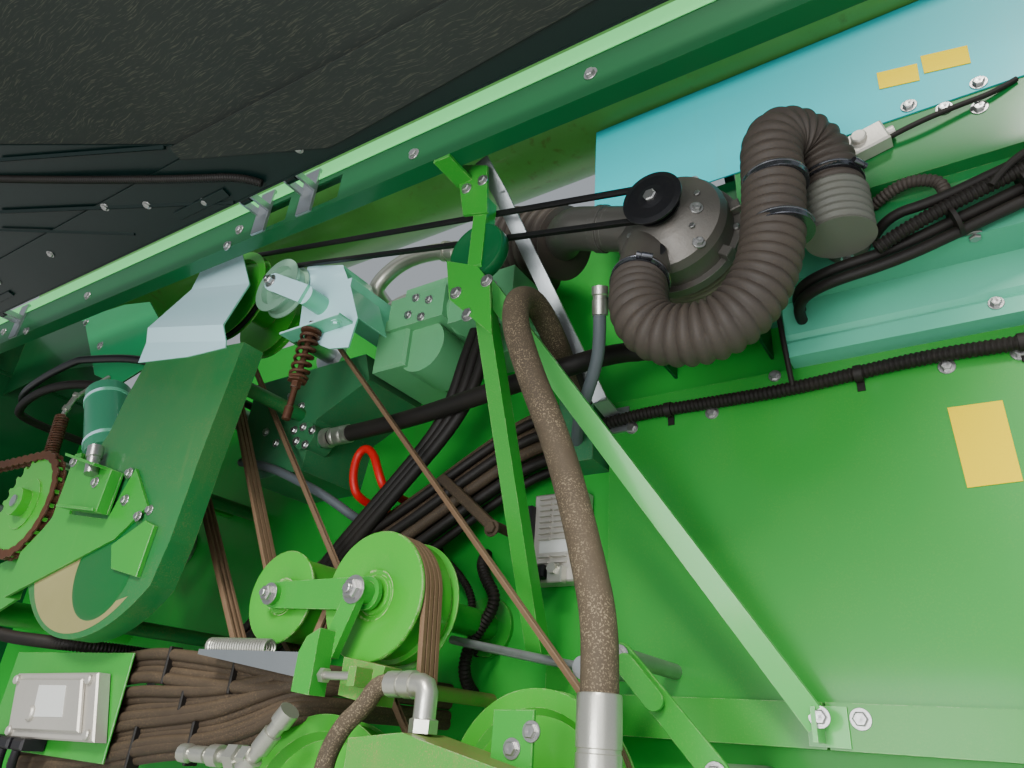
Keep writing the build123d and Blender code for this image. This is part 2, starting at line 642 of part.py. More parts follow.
def belt_blower():
    """Single belt from the drive sheave over the top idler's back side to the blower."""
    stops = [(DRIVE_X, DRIVE_Z, DRIVE_R - BLOWER_BELT[2], 1), (TOP_IDLER_X, TOP_IDLER_Z, TOP_IDLER_R, -1),
             (BLOWER_X, BLOWER_Z, BLOWER_R, 1)]
    return belt(stops, BLOWER_BELT)


def belt_long():
    """Single belt from the drive sheave's rear step down to the fan sheave."""
    stops = [(DRIVE_X, DRIVE_Z, DRIVE_REAR_R, 1), (FAN_X, FAN_Z, FAN_R - LONG_BELT[2], 1)]
    return belt(stops, LONG_BELT)


def belt_quad():
    """Four strands side by side round the large idler and the lower sheave, joined by their back."""
    stops = [(IDLER_X, IDLER_Z, IDLER_R - QUAD_BELT[2], 1), (LOWER_X, LOWER_Z, LOWER_R - QUAD_BELT[2], 1)]
    return belt(stops, QUAD_BELT)


def belt_triple():
    """Three strands from the upper sheave past the small idler to the lower sheave's rear step."""
    stops = [(TRIPLE_X, TRIPLE_Z, TRIPLE_R - TRIPLE_BELT[2], 1), (LOWER_X, LOWER_Z, LOWER_SMALL_R, 1),
             (SMALL_X, SMALL_Z, SMALL_R, -1)]
    return belt(stops, TRIPLE_BELT)


def link_edge(pins, side):
    """Outer or inner edge of the chain's link plates, full at each roller and waisted between."""
    edge = []
    count = len(pins)
    for i, (x, z) in enumerate(pins):
        before, after = pins[i - 1], pins[(i + 1) % count]
        span = hypot(after[0] - before[0], after[1] - before[1])
        tx, tz = (after[0] - before[0]) / span, (after[1] - before[1]) / span
        for ahead in (-LINK_END, LINK_END):
            edge.append((x + side * LINK_H * tz + ahead * tx, z - side * LINK_H * tx + ahead * tz))
        run = hypot(after[0] - x, after[1] - z)
        nx, nz = (after[1] - z) / run, (x - after[0]) / run
        edge.append(((x + after[0]) / 2 + side * LINK_WAIST * nx, (z + after[1]) / 2 + side * LINK_WAIST * nz))
    return edge


def chain():
    """Roller chain as one fixed loop: two waisted rows of link plates with the rollers between."""
    pins = chain_pins()
    inside = plate(link_edge(pins, -1), CHAIN_FRONT - 1, CHAIN_BACK + 1)
    outside = link_edge(pins, 1)
    rows = [plate(outside, CHAIN_FRONT, CHAIN_FRONT + LINK_T), plate(outside, CHAIN_BACK - LINK_T, CHAIN_BACK)]
    corners = [(ROLLER_R * cos(k * pi / 4), ROLLER_R * sin(k * pi / 4)) for k in range(8)]
    rollers = [plate([(x + dx, z + dz) for dx, dz in corners], CHAIN_FRONT + LINK_T, CHAIN_BACK - LINK_T)
               for x, z in pins]
    return (rows[0] - inside) + rollers + (rows[1] - inside)


def shafts():
    """Fixed shafts that stand out from the back sheet and carry the sheaves."""
    rows = (
        # x, z, front end, collar face behind the sheave
        (DRIVE_X, DRIVE_Z, BLOWER_BELT[0] - 2, LONG_BELT[1] + 5),
        (LOWER_X, LOWER_Z, QUAD_BELT[0] - 14, TRIPLE_BELT[1] + 7),
        (FAN_X, FAN_Z, LONG_BELT[0] - 38, LONG_BELT[1] + 6),
        (TRIPLE_X, TRIPLE_Z, TRIPLE_BELT[0] - 10, TRIPLE_BELT[1] + 6),
        (SPROCKET_X, SPROCKET_Z, CHAIN_FRONT - 24, CHAIN_BACK + 8),
        (*sprocket_rows()[1][:2], CHAIN_FRONT - 8, CHAIN_BACK + 8),
    )
    collar_r, flange_r, flange_t = SHAFT_R + 14, SHAFT_R + 40, 10
    pieces = []
    for x, z, front, hub_back in rows:
        shaft = pin(x, z, SHAFT_R, front, WALL_FACE) + pin(x, z, collar_r, hub_back + SEAT, WALL_FACE)
        pieces.append(shaft + pin(x, z, flange_r, WALL_FACE - flange_t, WALL_FACE))
    return pieces


def idler_link():
    """Link plate across the two idlers, their bolts, and the pivot post of the large one."""
    front, back = IDLER_FRONT - 16, IDLER_FRONT - 8
    ends = ((SMALL_X, SMALL_Z, 22), (IDLER_X, IDLER_Z, 26))
    link = plate([(SMALL_X, SMALL_Z - 22), (IDLER_X, IDLER_Z - 26), (IDLER_X, IDLER_Z + 26), (SMALL_X, SMALL_Z + 22)],
                 front, back)
    for x, z, r in ends:
        link += pin(x, z, r, front, back)
        link += pin(x, z, 18, front - 10, IDLER_FRONT - SEAT)
    link += pin(SMALL_X, SMALL_Z, IDLER_BOLT_R, front, IDLER_BACK)
    link += pin(IDLER_X, IDLER_Z, IDLER_BOLT_R, front, WALL_FACE)
    link += pin(IDLER_X, IDLER_Z, 26, IDLER_BACK + SEAT, WALL_FACE)
    link += pin(IDLER_X, IDLER_Z, 55, WALL_FACE - 10, WALL_FACE)
    left, right, back = TENSION_X + SEAT, TENSION_X + 38, TENSION_Y + 16
    link += plate([(left, 40), (right, 36), (right, 128), (left + 12, 116), (left, 94)], TENSION_Y - 16, back)
    link += plate([(left + 6, 90), (right, 90), (IDLER_X + 18, IDLER_Z), (IDLER_X - 12, IDLER_Z + 14)], back, back + 14)
    return link + pin(IDLER_X, IDLER_Z, 18, back, front)


def spring_box():
    """Tensioner of the lower belts: a folded sheet wedge against its lever."""
    return plate([(168, 98), (TENSION_X, 94), (TENSION_X, 60), (168, 90)], TENSION_Y - 15, TENSION_Y + 15)


def tension_rod():
    """Rod from the tensioner's lever to its anchor."""
    return rod((TENSION_X + 38 + SEAT, TENSION_Y, 64), (ANCHOR_X - SEAT, TENSION_Y, 64), 6)


def hose_fittings():
    """Elbow on the lower casting, and the tee at the lower left on its leg, with the tensioner's rod."""
    elbow = rod((ELBOW_X, ELBOW_Y, -2 + SEAT), (ELBOW_X, ELBOW_Y, 56), 16)
    elbow += rod((ELBOW_X - 66, ELBOW_Y, 56), (ELBOW_X + 8, ELBOW_Y, 56), 17)
    tee = rod((166, ELBOW_Y, -56), (296, ELBOW_Y, -53), 11) + rod((290, ELBOW_Y, -53), (338, ELBOW_Y, -52), 17)
    tee += rod((326, ELBOW_Y, -62), (400, ELBOW_Y, 20), 14)
    tee += block(194, 206, ELBOW_Y + 8, WALL_FACE, -61, -50)
    return elbow, tee, tension_rod()


def post():
    """Box-section post from the rail, bent back to its foot on the wall, with head plate and gusset."""
    back, foot_y = POST_FRONT + POST_DEEP, -204
    tube = bent([(POST_FRONT, POST_TOP), (POST_FRONT, POST_BEND), (foot_y, POST_FOOT), (foot_y + 28, POST_FOOT),
                 (foot_y + 28, POST_FOOT + 13), (back, POST_BEND + 8), (back, POST_TOP)], POST_LEFT, POST_RIGHT)
    foot = bent([(foot_y - 2, POST_FOOT), (foot_y - 2, POST_FOOT - 6), (WALL_FACE - 6, POST_FOOT - 6),
                 (WALL_FACE - 6, POST_FOOT - 58), (WALL_FACE, POST_FOOT - 58), (WALL_FACE, POST_FOOT)],
                POST_LEFT - 16, POST_RIGHT + 16)
    head = plate([(570, 1000), (645, 966), (658, 848), (602, 863)], POST_FRONT - HEAD_T, POST_FRONT)
    hang_right = 612
    under = RAIL_LOW - rail_drop(hang_right) - SEAT
    hanger = block(575, hang_right, RAIL_FACE, POST_FRONT, under - HEAD_T, under)
    gusset = plate([(575, 769), (647, 735), (678, 692), (693, 584), (593, 681)], POST_FRONT - 4, POST_FRONT)
    return joined([tube, foot, head, hanger, gusset])


def stay_strap():
    """Zinc-plated strap from the post's head back to the side sheet."""
    spots = [(623, POST_FRONT + 3, 997), (643, -428, 939), (744, -190, 581), (752, SIDE_FACE - 3, 560)]
    side = (1, 0, 0.3)
    pieces = [strip(a, b, 28, 6, side) for a, b in zip(spots, spots[1:])]
    pieces += [bar_x(x - 13, x + 13, y, z, 3) for x, y, z in spots[1:3]]
    return joined(pieces + [block(738, 778, SIDE_FACE - 6, SIDE_FACE, 535, 585)])


def brace():
    """Angle brace from the sill up to the post."""
    foot, top = Vector(1074, -200, 44), Vector(636, -440, 727)
    lean, leg = (1, 0, 0.63), Vector(9, 12, 8)
    angle = strip(foot, top, 32, 5, lean) + strip(foot + leg, top + leg, 5, 26, lean)
    angle -= block(500, POST_RIGHT + SEAT, -600, -300, 600, 900)
    tab = block(1068, 1074, -214, SILL_FACE - 5, 24, 66)
    return joined([angle, tab, block(1052, 1104, SILL_FACE - 5, SILL_FACE, 20, 70)])


def drive_guard():
    """Pressed guard with a round lower end, open at the back, on stand-off bars."""
    front = GUARD_FRONT
    outline = [Line((98, front, 692), (-268, front, 735)), Line((-268, front, 735), (-310, front, 640)),
               Line((-310, front, 640), (-330, front, 560)), Line((-330, front, 560), (-505, front, 310)),
               ThreePointArc((-505, front, 310), (-215, front, 112), (12, front, 204)),
               Line((12, front, 204), (35, front, 285)), Line((35, front, 285), (55, front, 442)),
               Line((55, front, 442), (98, front, 692))]
    face = make_face(outline)
    depth = GUARD_BACK - front
    shell = extrude(face, amount=depth, dir=(0, 1, 0))
    shell -= Pos(0, GUARD_T, 0) * extrude(offset(face, amount=-GUARD_T), amount=depth, dir=(0, 1, 0))
    for x, z, end in ((20, 640, -290.0), (-300, 160, WALL_FACE), (-300, 480, WALL_FACE)):
        shell += pin(x, z, 16, front + 1, end)
    return shell


def hood():
    """Sheet hood over the drive sheave: sloped face and lower flange, tilted to the left."""
    inner = GUARD_FRONT - SEAT
    outer = inner - GUARD_T
    sheet = bent([(outer, 650), (outer, 705), (-543, 740), (-478, 885), (-470, 985), (-467, 985), (-475, 884),
                  (-539.5, 740), (inner, 705), (inner, 650)], -400, 60)
    keep = plate([(54, 690), (-80, 668), (-290, 652), (-333, 985), (-173, 985), (-60, 880)], -600, -400)
    return (sheet & keep).rotate(Axis((54, 0, 740), (0, 1, 0)), HOOD_TILT)


def box_bracket():
    """Bracket box beside the top idler, with its beam to the wall."""
    front = -421.0
    face = plate([(94, 955), (219, 916), (262, 840), (300, 757), (289, 689), (230, 700), (120, 760)],
                 front, front + 4)
    lip = plate([(219, 916), (262, 840), (300, 757), (296, 757), (258, 840), (216, 914)], front, front + 90)
    beam = block(190, 258, front, WALL_FACE, 800, 870)
    return joined([face, lip, beam, pin(178, 820, 22, -470, front)])


def tension_arm():
    """Lever of the top idler, from the pivot hub to the idler's bolt."""
    front, back = -478, -470.3
    lever = plate([(TOP_IDLER_X - 8, TOP_IDLER_Z - 20), (170, 800), (190, 838), (TOP_IDLER_X + 8, TOP_IDLER_Z + 20)],
                  front, back)
    lever += pin(TOP_IDLER_X, TOP_IDLER_Z, 20, front, back)
    return lever + pin(TOP_IDLER_X, TOP_IDLER_Z, TOP_IDLER_BOLT_R, front, BLOWER_BELT[1] + 6)


def spring_tensioner():
    """Compression spring on its bolt, under a plate beside the bracket box."""
    plate_z = 744
    base = block(110, 290, -462, -421, plate_z, plate_z + 5)
    bolt = rod((190, -442, plate_z + 1), (172, -442, 540), 7)
    return joined([base, bolt, rod((189.5, -442, 738), (180, -442, 625), 21)])


def gear_case():
    """Gear case casting on the wall, with its boss and hose fitting."""
    outline = [(-178, 760), (-180, 600), (-120, 495), (60, 500), (78, 620), (225, 690), (200, 760)]
    case = plate(outline, -290, WALL_FACE)
    case += pin(60, 578, 32, -300, -240)
    return case + bar_x(60, 96, -270, 577, 20)


def pump_block():
    """Pair of pumps in line on a mounting base."""
    base = block(300, 600, -190, WALL_FACE, 740, 868)
    body = block(275, 430, -310, -190, 790, 868) + block(440, 600, -300, -190, 770, 868)
    return joined([base, body, bar_x(430, 440, -250, 820, 48), pin(360, 745, 62, -285, -180)])


def blower_housing():
    """Cast blower: domed volute, downward outlet, intake stub and mounting flange."""
    profile = [(0, -418), (30, -418), (52, -408), (88, -386), (95, -372), (95, -335), (106, -335),
               (106, BELLOWS_FRONT), (0, BELLOWS_FRONT)]
    dome = turned(BLOWER_X, BLOWER_Z, profile)
    dome += pin(BLOWER_X, BLOWER_Z, BLOWER_BOLT_R, BLOWER_BELT[0] - 8, -400)
    x, y, z = OUTLET_END
    dome += rod((x, y + 34, z + 78), OUTLET_END, DUCT_R - 4)
    x, y, z = INTAKE_END
    return dome + rod((x + 57, y, z - 57 * INTAKE_LEAN), INTAKE_END, 40)


def blower_bellows():
    """Ribbed drum between the blower and its mount."""
    ribs = 7
    step = (BELLOWS_BACK - BELLOWS_FRONT) / (2 * ribs)
    profile = [(0, BELLOWS_FRONT)]
    for i in range(2 * ribs):
        r = BELLOWS_R if i % 2 == 0 else BELLOWS_R - BELLOWS_FOLD
        profile += [(r, BELLOWS_FRONT + i * step), (r, BELLOWS_FRONT + (i + 1) * step)]
    profile += [(0, BELLOWS_BACK)]
    return turned(BLOWER_X, BLOWER_Z, profile)


def blower_mount():
    """Flat bracket plate for the blower, with its two side plates back to the wall."""
    face = block(MOUNT_LEFT, UPPER_LEFT, BELLOWS_BACK, BELLOWS_BACK + 6, MOUNT_LOW, MOUNT_TOP)
    for x in (MOUNT_LEFT, UPPER_LEFT - 5):
        face += block(x, x + 5, BELLOWS_BACK + 6, WALL_FACE, MOUNT_LOW, MOUNT_TOP)
    return face


def duct():
    """Corrugated U-shaped duct from the blower's outlet up to the filter stub."""
    x, y, z = OUTLET_END
    top = 880
    route = [OUTLET_END, (x, y - 34, z - 78), (962, -428, 532), (1058, -418, 530), (1118, -407, 612),
             (1135, -404, 745), (1137, -403, top), (DUCT_END_X, DUCT_END_Y, top),
             (DUCT_END_X, DUCT_END_Y, DUCT_END_TOP)]
    return hose(route, DUCT_R, share=0.48)


def duct_end():
    """Ribbed grey stub that takes the duct, with its pipe into the wall."""
    body = rod((DUCT_END_X, DUCT_END_Y, 700), (DUCT_END_X, DUCT_END_Y, DUCT_END_TOP), 50)
    return body + pin(DUCT_END_X, 742, 34, DUCT_END_Y, BAND_FACE)


def air_intake():
    """Intake: pipe from the blower, large ribbed bellows and its stub on the wall."""
    x, y, z = INTAKE_END
    pipe = hose([INTAKE_END, (x - 80, y, z + 80 * INTAKE_LEAN), (688, -262, 920)], 40)
    bellows = rod((700, -262, 912), (545, -238, 990), 74)
    return joined([pipe, bellows, pin(545, 960, 50, -238, WALL_FACE)])


def valve_block():
    """Valve block on the wall, where the hose bundles meet."""
    return block(650, 725, -180, WALL_FACE, 470, 605)


def hose_main():
    """Large return hose, up from the lower casting and over to the valve block."""
    route = [(908, -500, -60), (908, -500, 52), (904, -494, 132), (878, -480, 210), (850, -466, 286),
             (822, -460, 362), (796, -461, 427), (773, -465, 482), (752, -470, 540), (731, -470, 600),
             (719, -452, 662), (716, -395, 692), (713, -330, 668), (705, -262, 634), (697, -222, 592),
             (697, -180, 592)]
    return hose(route, MAIN_HOSE_R)


def hose_gear():
    """Hose across the bay from the gear case to the blower's mount."""
    route = [(96, -270, 577), (234, -270, 577), (372, -278, 578), (500, -292, 582), (625, -310, 584),
             (730, -316, 590), (785, -280, 618), (812, -228, 648), (836, -205, 655), (MOUNT_LEFT, -205, 655)]
    return hose(route, GEAR_HOSE_R)


def hose_bundle():
    """Diagonal bundle from the valve block down to the left."""
    pieces = []
    for lift in (0, 34, 68):
        route = [(650, -150, 500 + lift), (590, -150, 500 + lift), (470, -190, 410 + lift), (370, -200, 345 + lift),
                 (172, -200, 252 + lift), (20, -196, 175 + lift), (-120, -172, 110 + lift), (-160, -150, 95 + lift),
                 (-160, WALL_FACE, 95 + lift)]
        pieces.append(hose(route, BUNDLE_HOSE_R))
    for drop in (0, 21):
        route = [(1112, LEDGE_FACE, 686 - drop), (1112, -225, 686 - drop), (1160, -262, 688 - drop),
                 (1265, -262, 697 - drop), (1358, -262, 722 - drop), (1530, -262, 771 - drop),
                 (1530, BAND_FACE, 771 - drop)]
        pieces.append(hose(route, LEDGE_HOSE_R))
    return pieces


def hose_rows():
    """Rows of brown hoses at the lower left, behind the control unit's bracket."""
    rows = (
        # height shift, end height
        (0, 40), (-30, 12),
    )
    y = ROW_HOSE_Y
    pieces = []
    for shift, end in rows:
        route = [(-430, y, 5 + shift), (-240, y, 30 + shift), (-40, y, 78 + shift), (150, y, 70 + shift), (300, y, end)]
        pieces.append(hose(route, ROW_HOSE_R))
    route = [(ELBOW_X - 66, ELBOW_Y, 56), (562, ELBOW_Y, 56), (545, ELBOW_Y, 28), (505, -488, -2),
             (482, -490, -60), (480, -490, -350),
             (480, -400, -385), (480, WALL_FACE, -385)]
    return pieces + [hose(route, ELBOW_HOSE_R)]


def hose_clamps():
    """Angle brackets from the wall, which the rows of hoses lie against."""
    front = ROW_HOSE_Y + ROW_HOSE_R + SEAT
    clamps = []
    for x, low in ((-330, -28), (-50, 24)):
        plate_part = block(x - 12, x + 12, front, front + 5, low, low + 74)
        clamps.append(plate_part + block(x - 12, x + 12, front + 5, WALL_FACE, low, low + 5))
    return clamps


def control_unit():
    """Control unit on its bracket plate, with legs to the wall."""
    body = plate([(-430, 50), (-128, 57), (-75, -57), (-387, -66)], -507, -472)
    bracket = block(-520, -75, -472, -468, -90, 95)
    for x in (-500, -150):
        bracket += block(x, x + 30, -468, WALL_FACE, -85, -80)
    return body + bracket


def engine_control():
    """Finned control box on the wall between the post and the side sheet."""
    return block(590, 690, -150, WALL_FACE, 262, 420)


def chain_arm():
    """Arm behind the chain, joggled forward over the guard to a plate with a box bracket."""
    back, front, t = -512.0, -537.0, 6.0
    joggle = -530
    beam = plate([(-800, 107), (joggle, 200), (joggle, 315), (-800, 264)], back, back + t)
    step = block(joggle, joggle + t, front, back + t, 200, 300)
    face = plate([(joggle, 200), (-148, 300), (-64, 358), (-153, 449), (-200, 345), (-368, 372), (-412, 522),
                  (-440, 522), (-440, 370), (-466, 346), (joggle, 300)], front, front + t)
    boss = pin(-760, 190, 30, back, WALL_FACE)
    stand = block(-440, -412, front + t, WALL_FACE, 490, 522)
    shelf = block(-510, -440, -470, -410, STALK_FOOT - 8, STALK_FOOT)
    return joined([beam, step, face, boss, stand, shelf])


def canister():
    """Green accumulator canister, with its stalk down to the arm's shelf."""
    return rod((-490, -440, 560), (-600, -440, 752), 56) + rod((-482, -440, STALK_FOOT), (-482, -440, 580), 14)


def lower_casting():
    """Dirty casting at the lower edge, with the hose port and a leg to the wall."""
    outline = [(561, -13), (650, -2), (790, -29), (845, -37), (870, -60), (936, -60), (936, -120), (561, -110)]
    body = plate(outline, -526, -440)
    anchor = plate([(470, 92), (554, 80), (545, 28), (470, 40)], -468, -432)
    anchor += block(ANCHOR_X, ANCHOR_X + 14, -502, -468, 50, 76) + pin(490, 60, 12, -432, WALL_FACE)
    return body + block(886, 926, -440, WALL_FACE, -115, -75), anchor


NODES = (
    rear_frame, tube_saddles, inner_wall, end_panel, side_sheet, sill, ledge_stack, deck_panel,
    unloading_tube, cover_rail, hinge_brackets, cover_skin, cover_ribs, cover_lining, drive_pulley,
    top_idler, blower_pulley, idler_large, idler_small, lower_pulley, fan_pulley, triple_pulley,
    sprocket, far_sprocket, belt_blower, belt_long, belt_quad, belt_triple, chain, shafts,
    idler_link, spring_box, hose_fittings, post, stay_strap, brace, drive_guard, hood, box_bracket, tension_arm,
    spring_tensioner, gear_case, pump_block, blower_housing, blower_bellows, blower_mount, duct,
    duct_end, air_intake, valve_block, hose_main, hose_gear, hose_bundle, hose_rows, hose_clamps, control_unit,
    engine_control, chain_arm, canister, lower_casting,
)

os.makedirs("parts", exist_ok=True)
for make in NODES:
    made = make()
    shape = Compound(children=list(made)) if isinstance(made, (list, tuple)) else made
    export_step(shape, f"parts/{make.__name__}.step")
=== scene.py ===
"""Looks of the side drive bay of a combine harvester, laid out as an add-on.

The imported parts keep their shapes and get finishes; hoses, belts, springs, bellows and small
fasteners are surfaces worked out here and dressed over them. Tables and calls are in millimetres,
x along the bay, y into it and z up. A shape is a pair: its points in metres and its lists of faces."""

import math

import bmesh
import bpy
import numpy as np
from bpy.props import FloatProperty, FloatVectorProperty, PointerProperty
from mathutils import Matrix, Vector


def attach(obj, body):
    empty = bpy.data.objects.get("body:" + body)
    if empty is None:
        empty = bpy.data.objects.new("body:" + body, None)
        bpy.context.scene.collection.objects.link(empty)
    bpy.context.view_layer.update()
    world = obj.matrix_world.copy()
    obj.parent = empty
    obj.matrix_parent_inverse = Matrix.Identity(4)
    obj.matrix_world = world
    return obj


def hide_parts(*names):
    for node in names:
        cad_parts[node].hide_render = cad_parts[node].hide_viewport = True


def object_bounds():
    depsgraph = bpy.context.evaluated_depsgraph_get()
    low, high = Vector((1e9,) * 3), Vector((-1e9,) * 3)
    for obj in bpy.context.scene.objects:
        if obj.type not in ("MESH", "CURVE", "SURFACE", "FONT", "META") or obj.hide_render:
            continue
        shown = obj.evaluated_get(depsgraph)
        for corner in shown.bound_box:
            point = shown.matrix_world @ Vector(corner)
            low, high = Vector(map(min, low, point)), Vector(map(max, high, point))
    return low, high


bl_info = {
    "name": "Harvester Drive Bay",
    "version": (1, 0, 0),
    "blender": (4, 5, 0),
    "location": "View3D > Sidebar > Bay",
    "description": "Dresses the packed side drive bay of a combine harvester",
    "category": "Object",
}

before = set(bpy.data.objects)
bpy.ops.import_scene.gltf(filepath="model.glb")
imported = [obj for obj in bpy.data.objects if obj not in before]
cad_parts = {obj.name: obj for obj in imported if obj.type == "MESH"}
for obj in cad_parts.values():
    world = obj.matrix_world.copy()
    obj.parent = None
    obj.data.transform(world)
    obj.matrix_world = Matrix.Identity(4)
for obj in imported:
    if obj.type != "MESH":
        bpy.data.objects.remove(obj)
CAD_BOX = [list(corner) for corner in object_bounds()]
MM = 0.001
FRONT, BACK, RIGHT, UP, DOWN = (0, -1, 0), (0, 1, 0), (1, 0, 0), (0, 0, 1), (0, 0, -1)
WALL = -104  # y of the inner wall's face, where hoses, pipes and rods end in it
AXIS = 0.01  # radius at which a solid of revolution closes to its axis

# Control points of the held hoses, as the part has them
DUCT_ROUTE = ((922, -402, 672), (922, -436, 594), (962, -428, 532), (1058, -418, 530), (1118, -407, 612),
              (1135, -404, 745), (1137, -403, 880), (1205, -322, 880), (1205, -322, 783))
MAIN_ROUTE = ((908, -500, -60), (908, -500, 52), (904, -494, 132), (878, -480, 210), (850, -466, 286),
              (822, -460, 362), (796, -461, 427), (773, -465, 482), (752, -470, 540), (731, -470, 600),
              (719, -452, 662), (716, -395, 692), (713, -330, 668), (705, -262, 634), (697, -222, 592),
              (697, -180, 592))
GEAR_ROUTE = ((96, -270, 577), (234, -270, 577), (372, -278, 578), (500, -292, 582), (625, -310, 584),
              (730, -316, 590), (785, -280, 618), (812, -228, 648), (836, -205, 655), (860, -205, 655))
BUNDLE_ROUTE = ((650, -150, 500), (590, -150, 500), (470, -190, 410), (370, -200, 345), (172, -200, 252),
                (20, -196, 175), (-120, -172, 110), (-160, -150, 95), (-160, WALL, 95))
BUNDLE_LIFTS = (0, 34, 68)
LEDGE_ROUTE = ((1112, -173, 686), (1112, -225, 686), (1160, -262, 688), (1265, -262, 697), (1358, -262, 722),
               (1530, -262, 771), (1530, -240, 771))
PUMP_ROUTE = ((480, -250, 782), (466, -262, 700), (448, -262, 617), (408, -262, 535), (270, -262, 402),
              (110, -250, 262), (60, -200, 215), (40, WALL, 200))
ELBOW_HOSE_ROUTE = ((584, -486, 56), (562, -486, 56), (545, -486, 28), (505, -488, -2), (482, -490, -60),
                    (480, -490, -350), (480, -400, -385), (480, WALL, -385))

# Hoses in rows at the lower left: where their heights are given, and the heights, one line for each pair of hoses
ROW_STATIONS = (-430, -230, -60, 60, 180, 290, 350)
ROW_HEIGHTS = (
    (40, 70, 98, 93, 84, 70, 58), (12, 40, 71, 63, 58, 57, 64), (-20, 10, 32, 33, 40, 58, 76),
    (-50, -30, 2, 10, 25, 48, 66), (-76, -58, -24, -11, 4, 36, 52), (-96, -80, -50, -32, -24, 6, 30),
    (-116, -104, -72, -52, -40, -14, 17))

# Belts: name, sheaves as x, z, running radius and side, band as front, back and thickness, strands, finish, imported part
BELT_ROWS = (
    ("blower_belt", ((-140, 930, 110, 1), (54, 890, 60, -1), (961, 779, 26, 1)), (-444, -432, 10), 1, "thin belt",
     "belt_blower"),
    ("long_belt", ((-140, 930, 99, 1), (728, -78, 137, 1)), (-328, -312, 9), 2, "belt brown", "belt_long"),
    ("four_belts", ((473, 189, 92, 1), (421, -163, 168, 1)), (-425, -382, 10), 4, "belt brown", "belt_quad"),
    ("three_belts", ((-241, 684, 80, 1), (421, -163, 90, 1), (255, 194, 71, -1)), (-378, -343, 10), 3, "belt brown",
     "belt_triple"),
)

# Bolts that face the camera's side: spot and width across the flats
WALL_BOLTS = (
    ((1329, -265, 960), 15), ((1425, -265, 958), 15), ((1500, -265, 958), 15), ((1374, -262, 933), 15),
    ((1417, -262, 912), 15), ((936, -130, 544), 15), ((782, -130, 541), 15), ((1301, -130, 554), 15),
    ((1394, -130, 556), 15), ((968, -265, 957), 15), ((1379, -173, 621), 13), ((1077, -205, 54), 17),
    ((1119, -160, 56), 17), ((1049, -130, 593), 13), ((-286, -537, 432), 15), ((-171, -537, 440), 15),
    ((-153, -537, 380), 15), ((-85, -537, 340), 13), ((-430, -537, 501), 15), ((-63, -530, 352), 13),
    ((-850, -400, 985), 17), ((-560, -400, 900), 17), ((-1010, -400, 1110), 15), ((1010, -240, 900), 13),
    ((1010, -240, 680), 13), ((637, -474, 640), 17), ((607, -478, 690), 15), ((672, -478, 695), 15),
    ((640, -480, 930), 14), ((603, -480, 926), 14),
)

# Rings of bolts on cases: x, z, ring radius, front depth and count
RING_BOLTS = ((60, 578, 25, -300, 4), (-40, 640, 60, -290, 6), (360, 828, 30, -310, 4), (520, 820, 32, -300, 4))

# Slope of the cover's rail and rise of the open cover, in degrees, and the spots they turn about
RAIL_TILT, RAIL_PIVOT = 1.43, (0, 0, 1070)
COVER_RISE, COVER_HINGE = 15.0, (0, -600, 1030)

# The camera's right, up and backward directions and its spot, solved from the photograph's vanishing points
CAMERA = ((0.83781508, 0.54137428, 0.07056759), (0.18825237, -0.40779503, 0.89345636),
          (0.51247141, -0.73526669, -0.44357181), (1.3, -1.28, 0.0))
SENSOR_WIDTH = 36.0
CAMERA_REACH = (0.01, 60.0)

# Lights in metres: name, spot, what it aims at, power in watts and size of its square
AREA_LIGHTS = (("front", (2.6, -3.6, 0.9), (0.8, 0.0, 0.7), 34.0, 2.6),
               ("bounce", (0.9, -2.3, -0.04), (0.5, -0.3, 1.0), 26.0, 0.85))
SUN_SPOT, SUN_AIM, SUN_ANGLE, SUN_COLOUR = (1.5, -4.0, 3.5), (0.4, 0.0, 0.6), 0.25, (1.0, 0.97, 0.9)
SKY_COLOUR = (0.86, 0.93, 1.0, 1.0)
FLOOR_GAP, FLOOR_HALF, FLOOR_ROUGHNESS = 0.02, 9.0, 0.8


# ---------------------------------------------------------------- surfaces


def unit(vector):
    """The vector at a length of one."""
    vector = np.array(vector, float)
    return vector / np.linalg.norm(vector)


def square_to(axis, guide=2):
    """Two unit directions square to an axis and each other, the first also square to a world axis."""
    first = unit(np.cross(np.eye(3)[guide if abs(axis[guide]) < 0.8 else 0], axis))
    return first, np.cross(axis, first)


def grid_quads(rows, cols, close_rows=False):
    """Corner numbers of the quads between neighbours on a grid of rows by cols points, closed across."""
    i = np.arange(rows if close_rows else rows - 1)[:, None]
    j = np.arange(cols)[None, :]
    up, over = (i + 1) % rows, (j + 1) % cols
    return np.stack([i * cols + j, i * cols + over, up * cols + over, up * cols + j], -1).reshape(-1, 4)


def merged(shapes):
    """One shape from several: points are stacked and each shape's faces are counted on."""
    points, faces, start = [], [], 0
    for spots, parts in shapes:
        points.append(spots)
        faces += [part + start for part in parts]
        start += len(spots)
    return np.concatenate(points), faces


def capped(points, rows, cols):
    """A grid of points closed by a flat end at its first and last row."""
    ends = np.arange(cols)
    return points, [grid_quads(rows, cols), ends[::-1][None], (ends + (rows - 1) * cols)[None]]


def carried(line):
    """Two unit normals along a line, each turned from the one before by the least turn."""
    ahead = np.gradient(line, axis=0)
    ahead /= np.linalg.norm(ahead, axis=1)[:, None]
    sides = [unit(np.cross(ahead[0], (0.31, 0.87, 0.38)))]  # a slanted start, along no pipe here
    for step in ahead[1:]:
        sides.append(unit(sides[-1] - step * (sides[-1] @ step)))
    sides = np.array(sides)
    return sides, np.cross(ahead, sides)


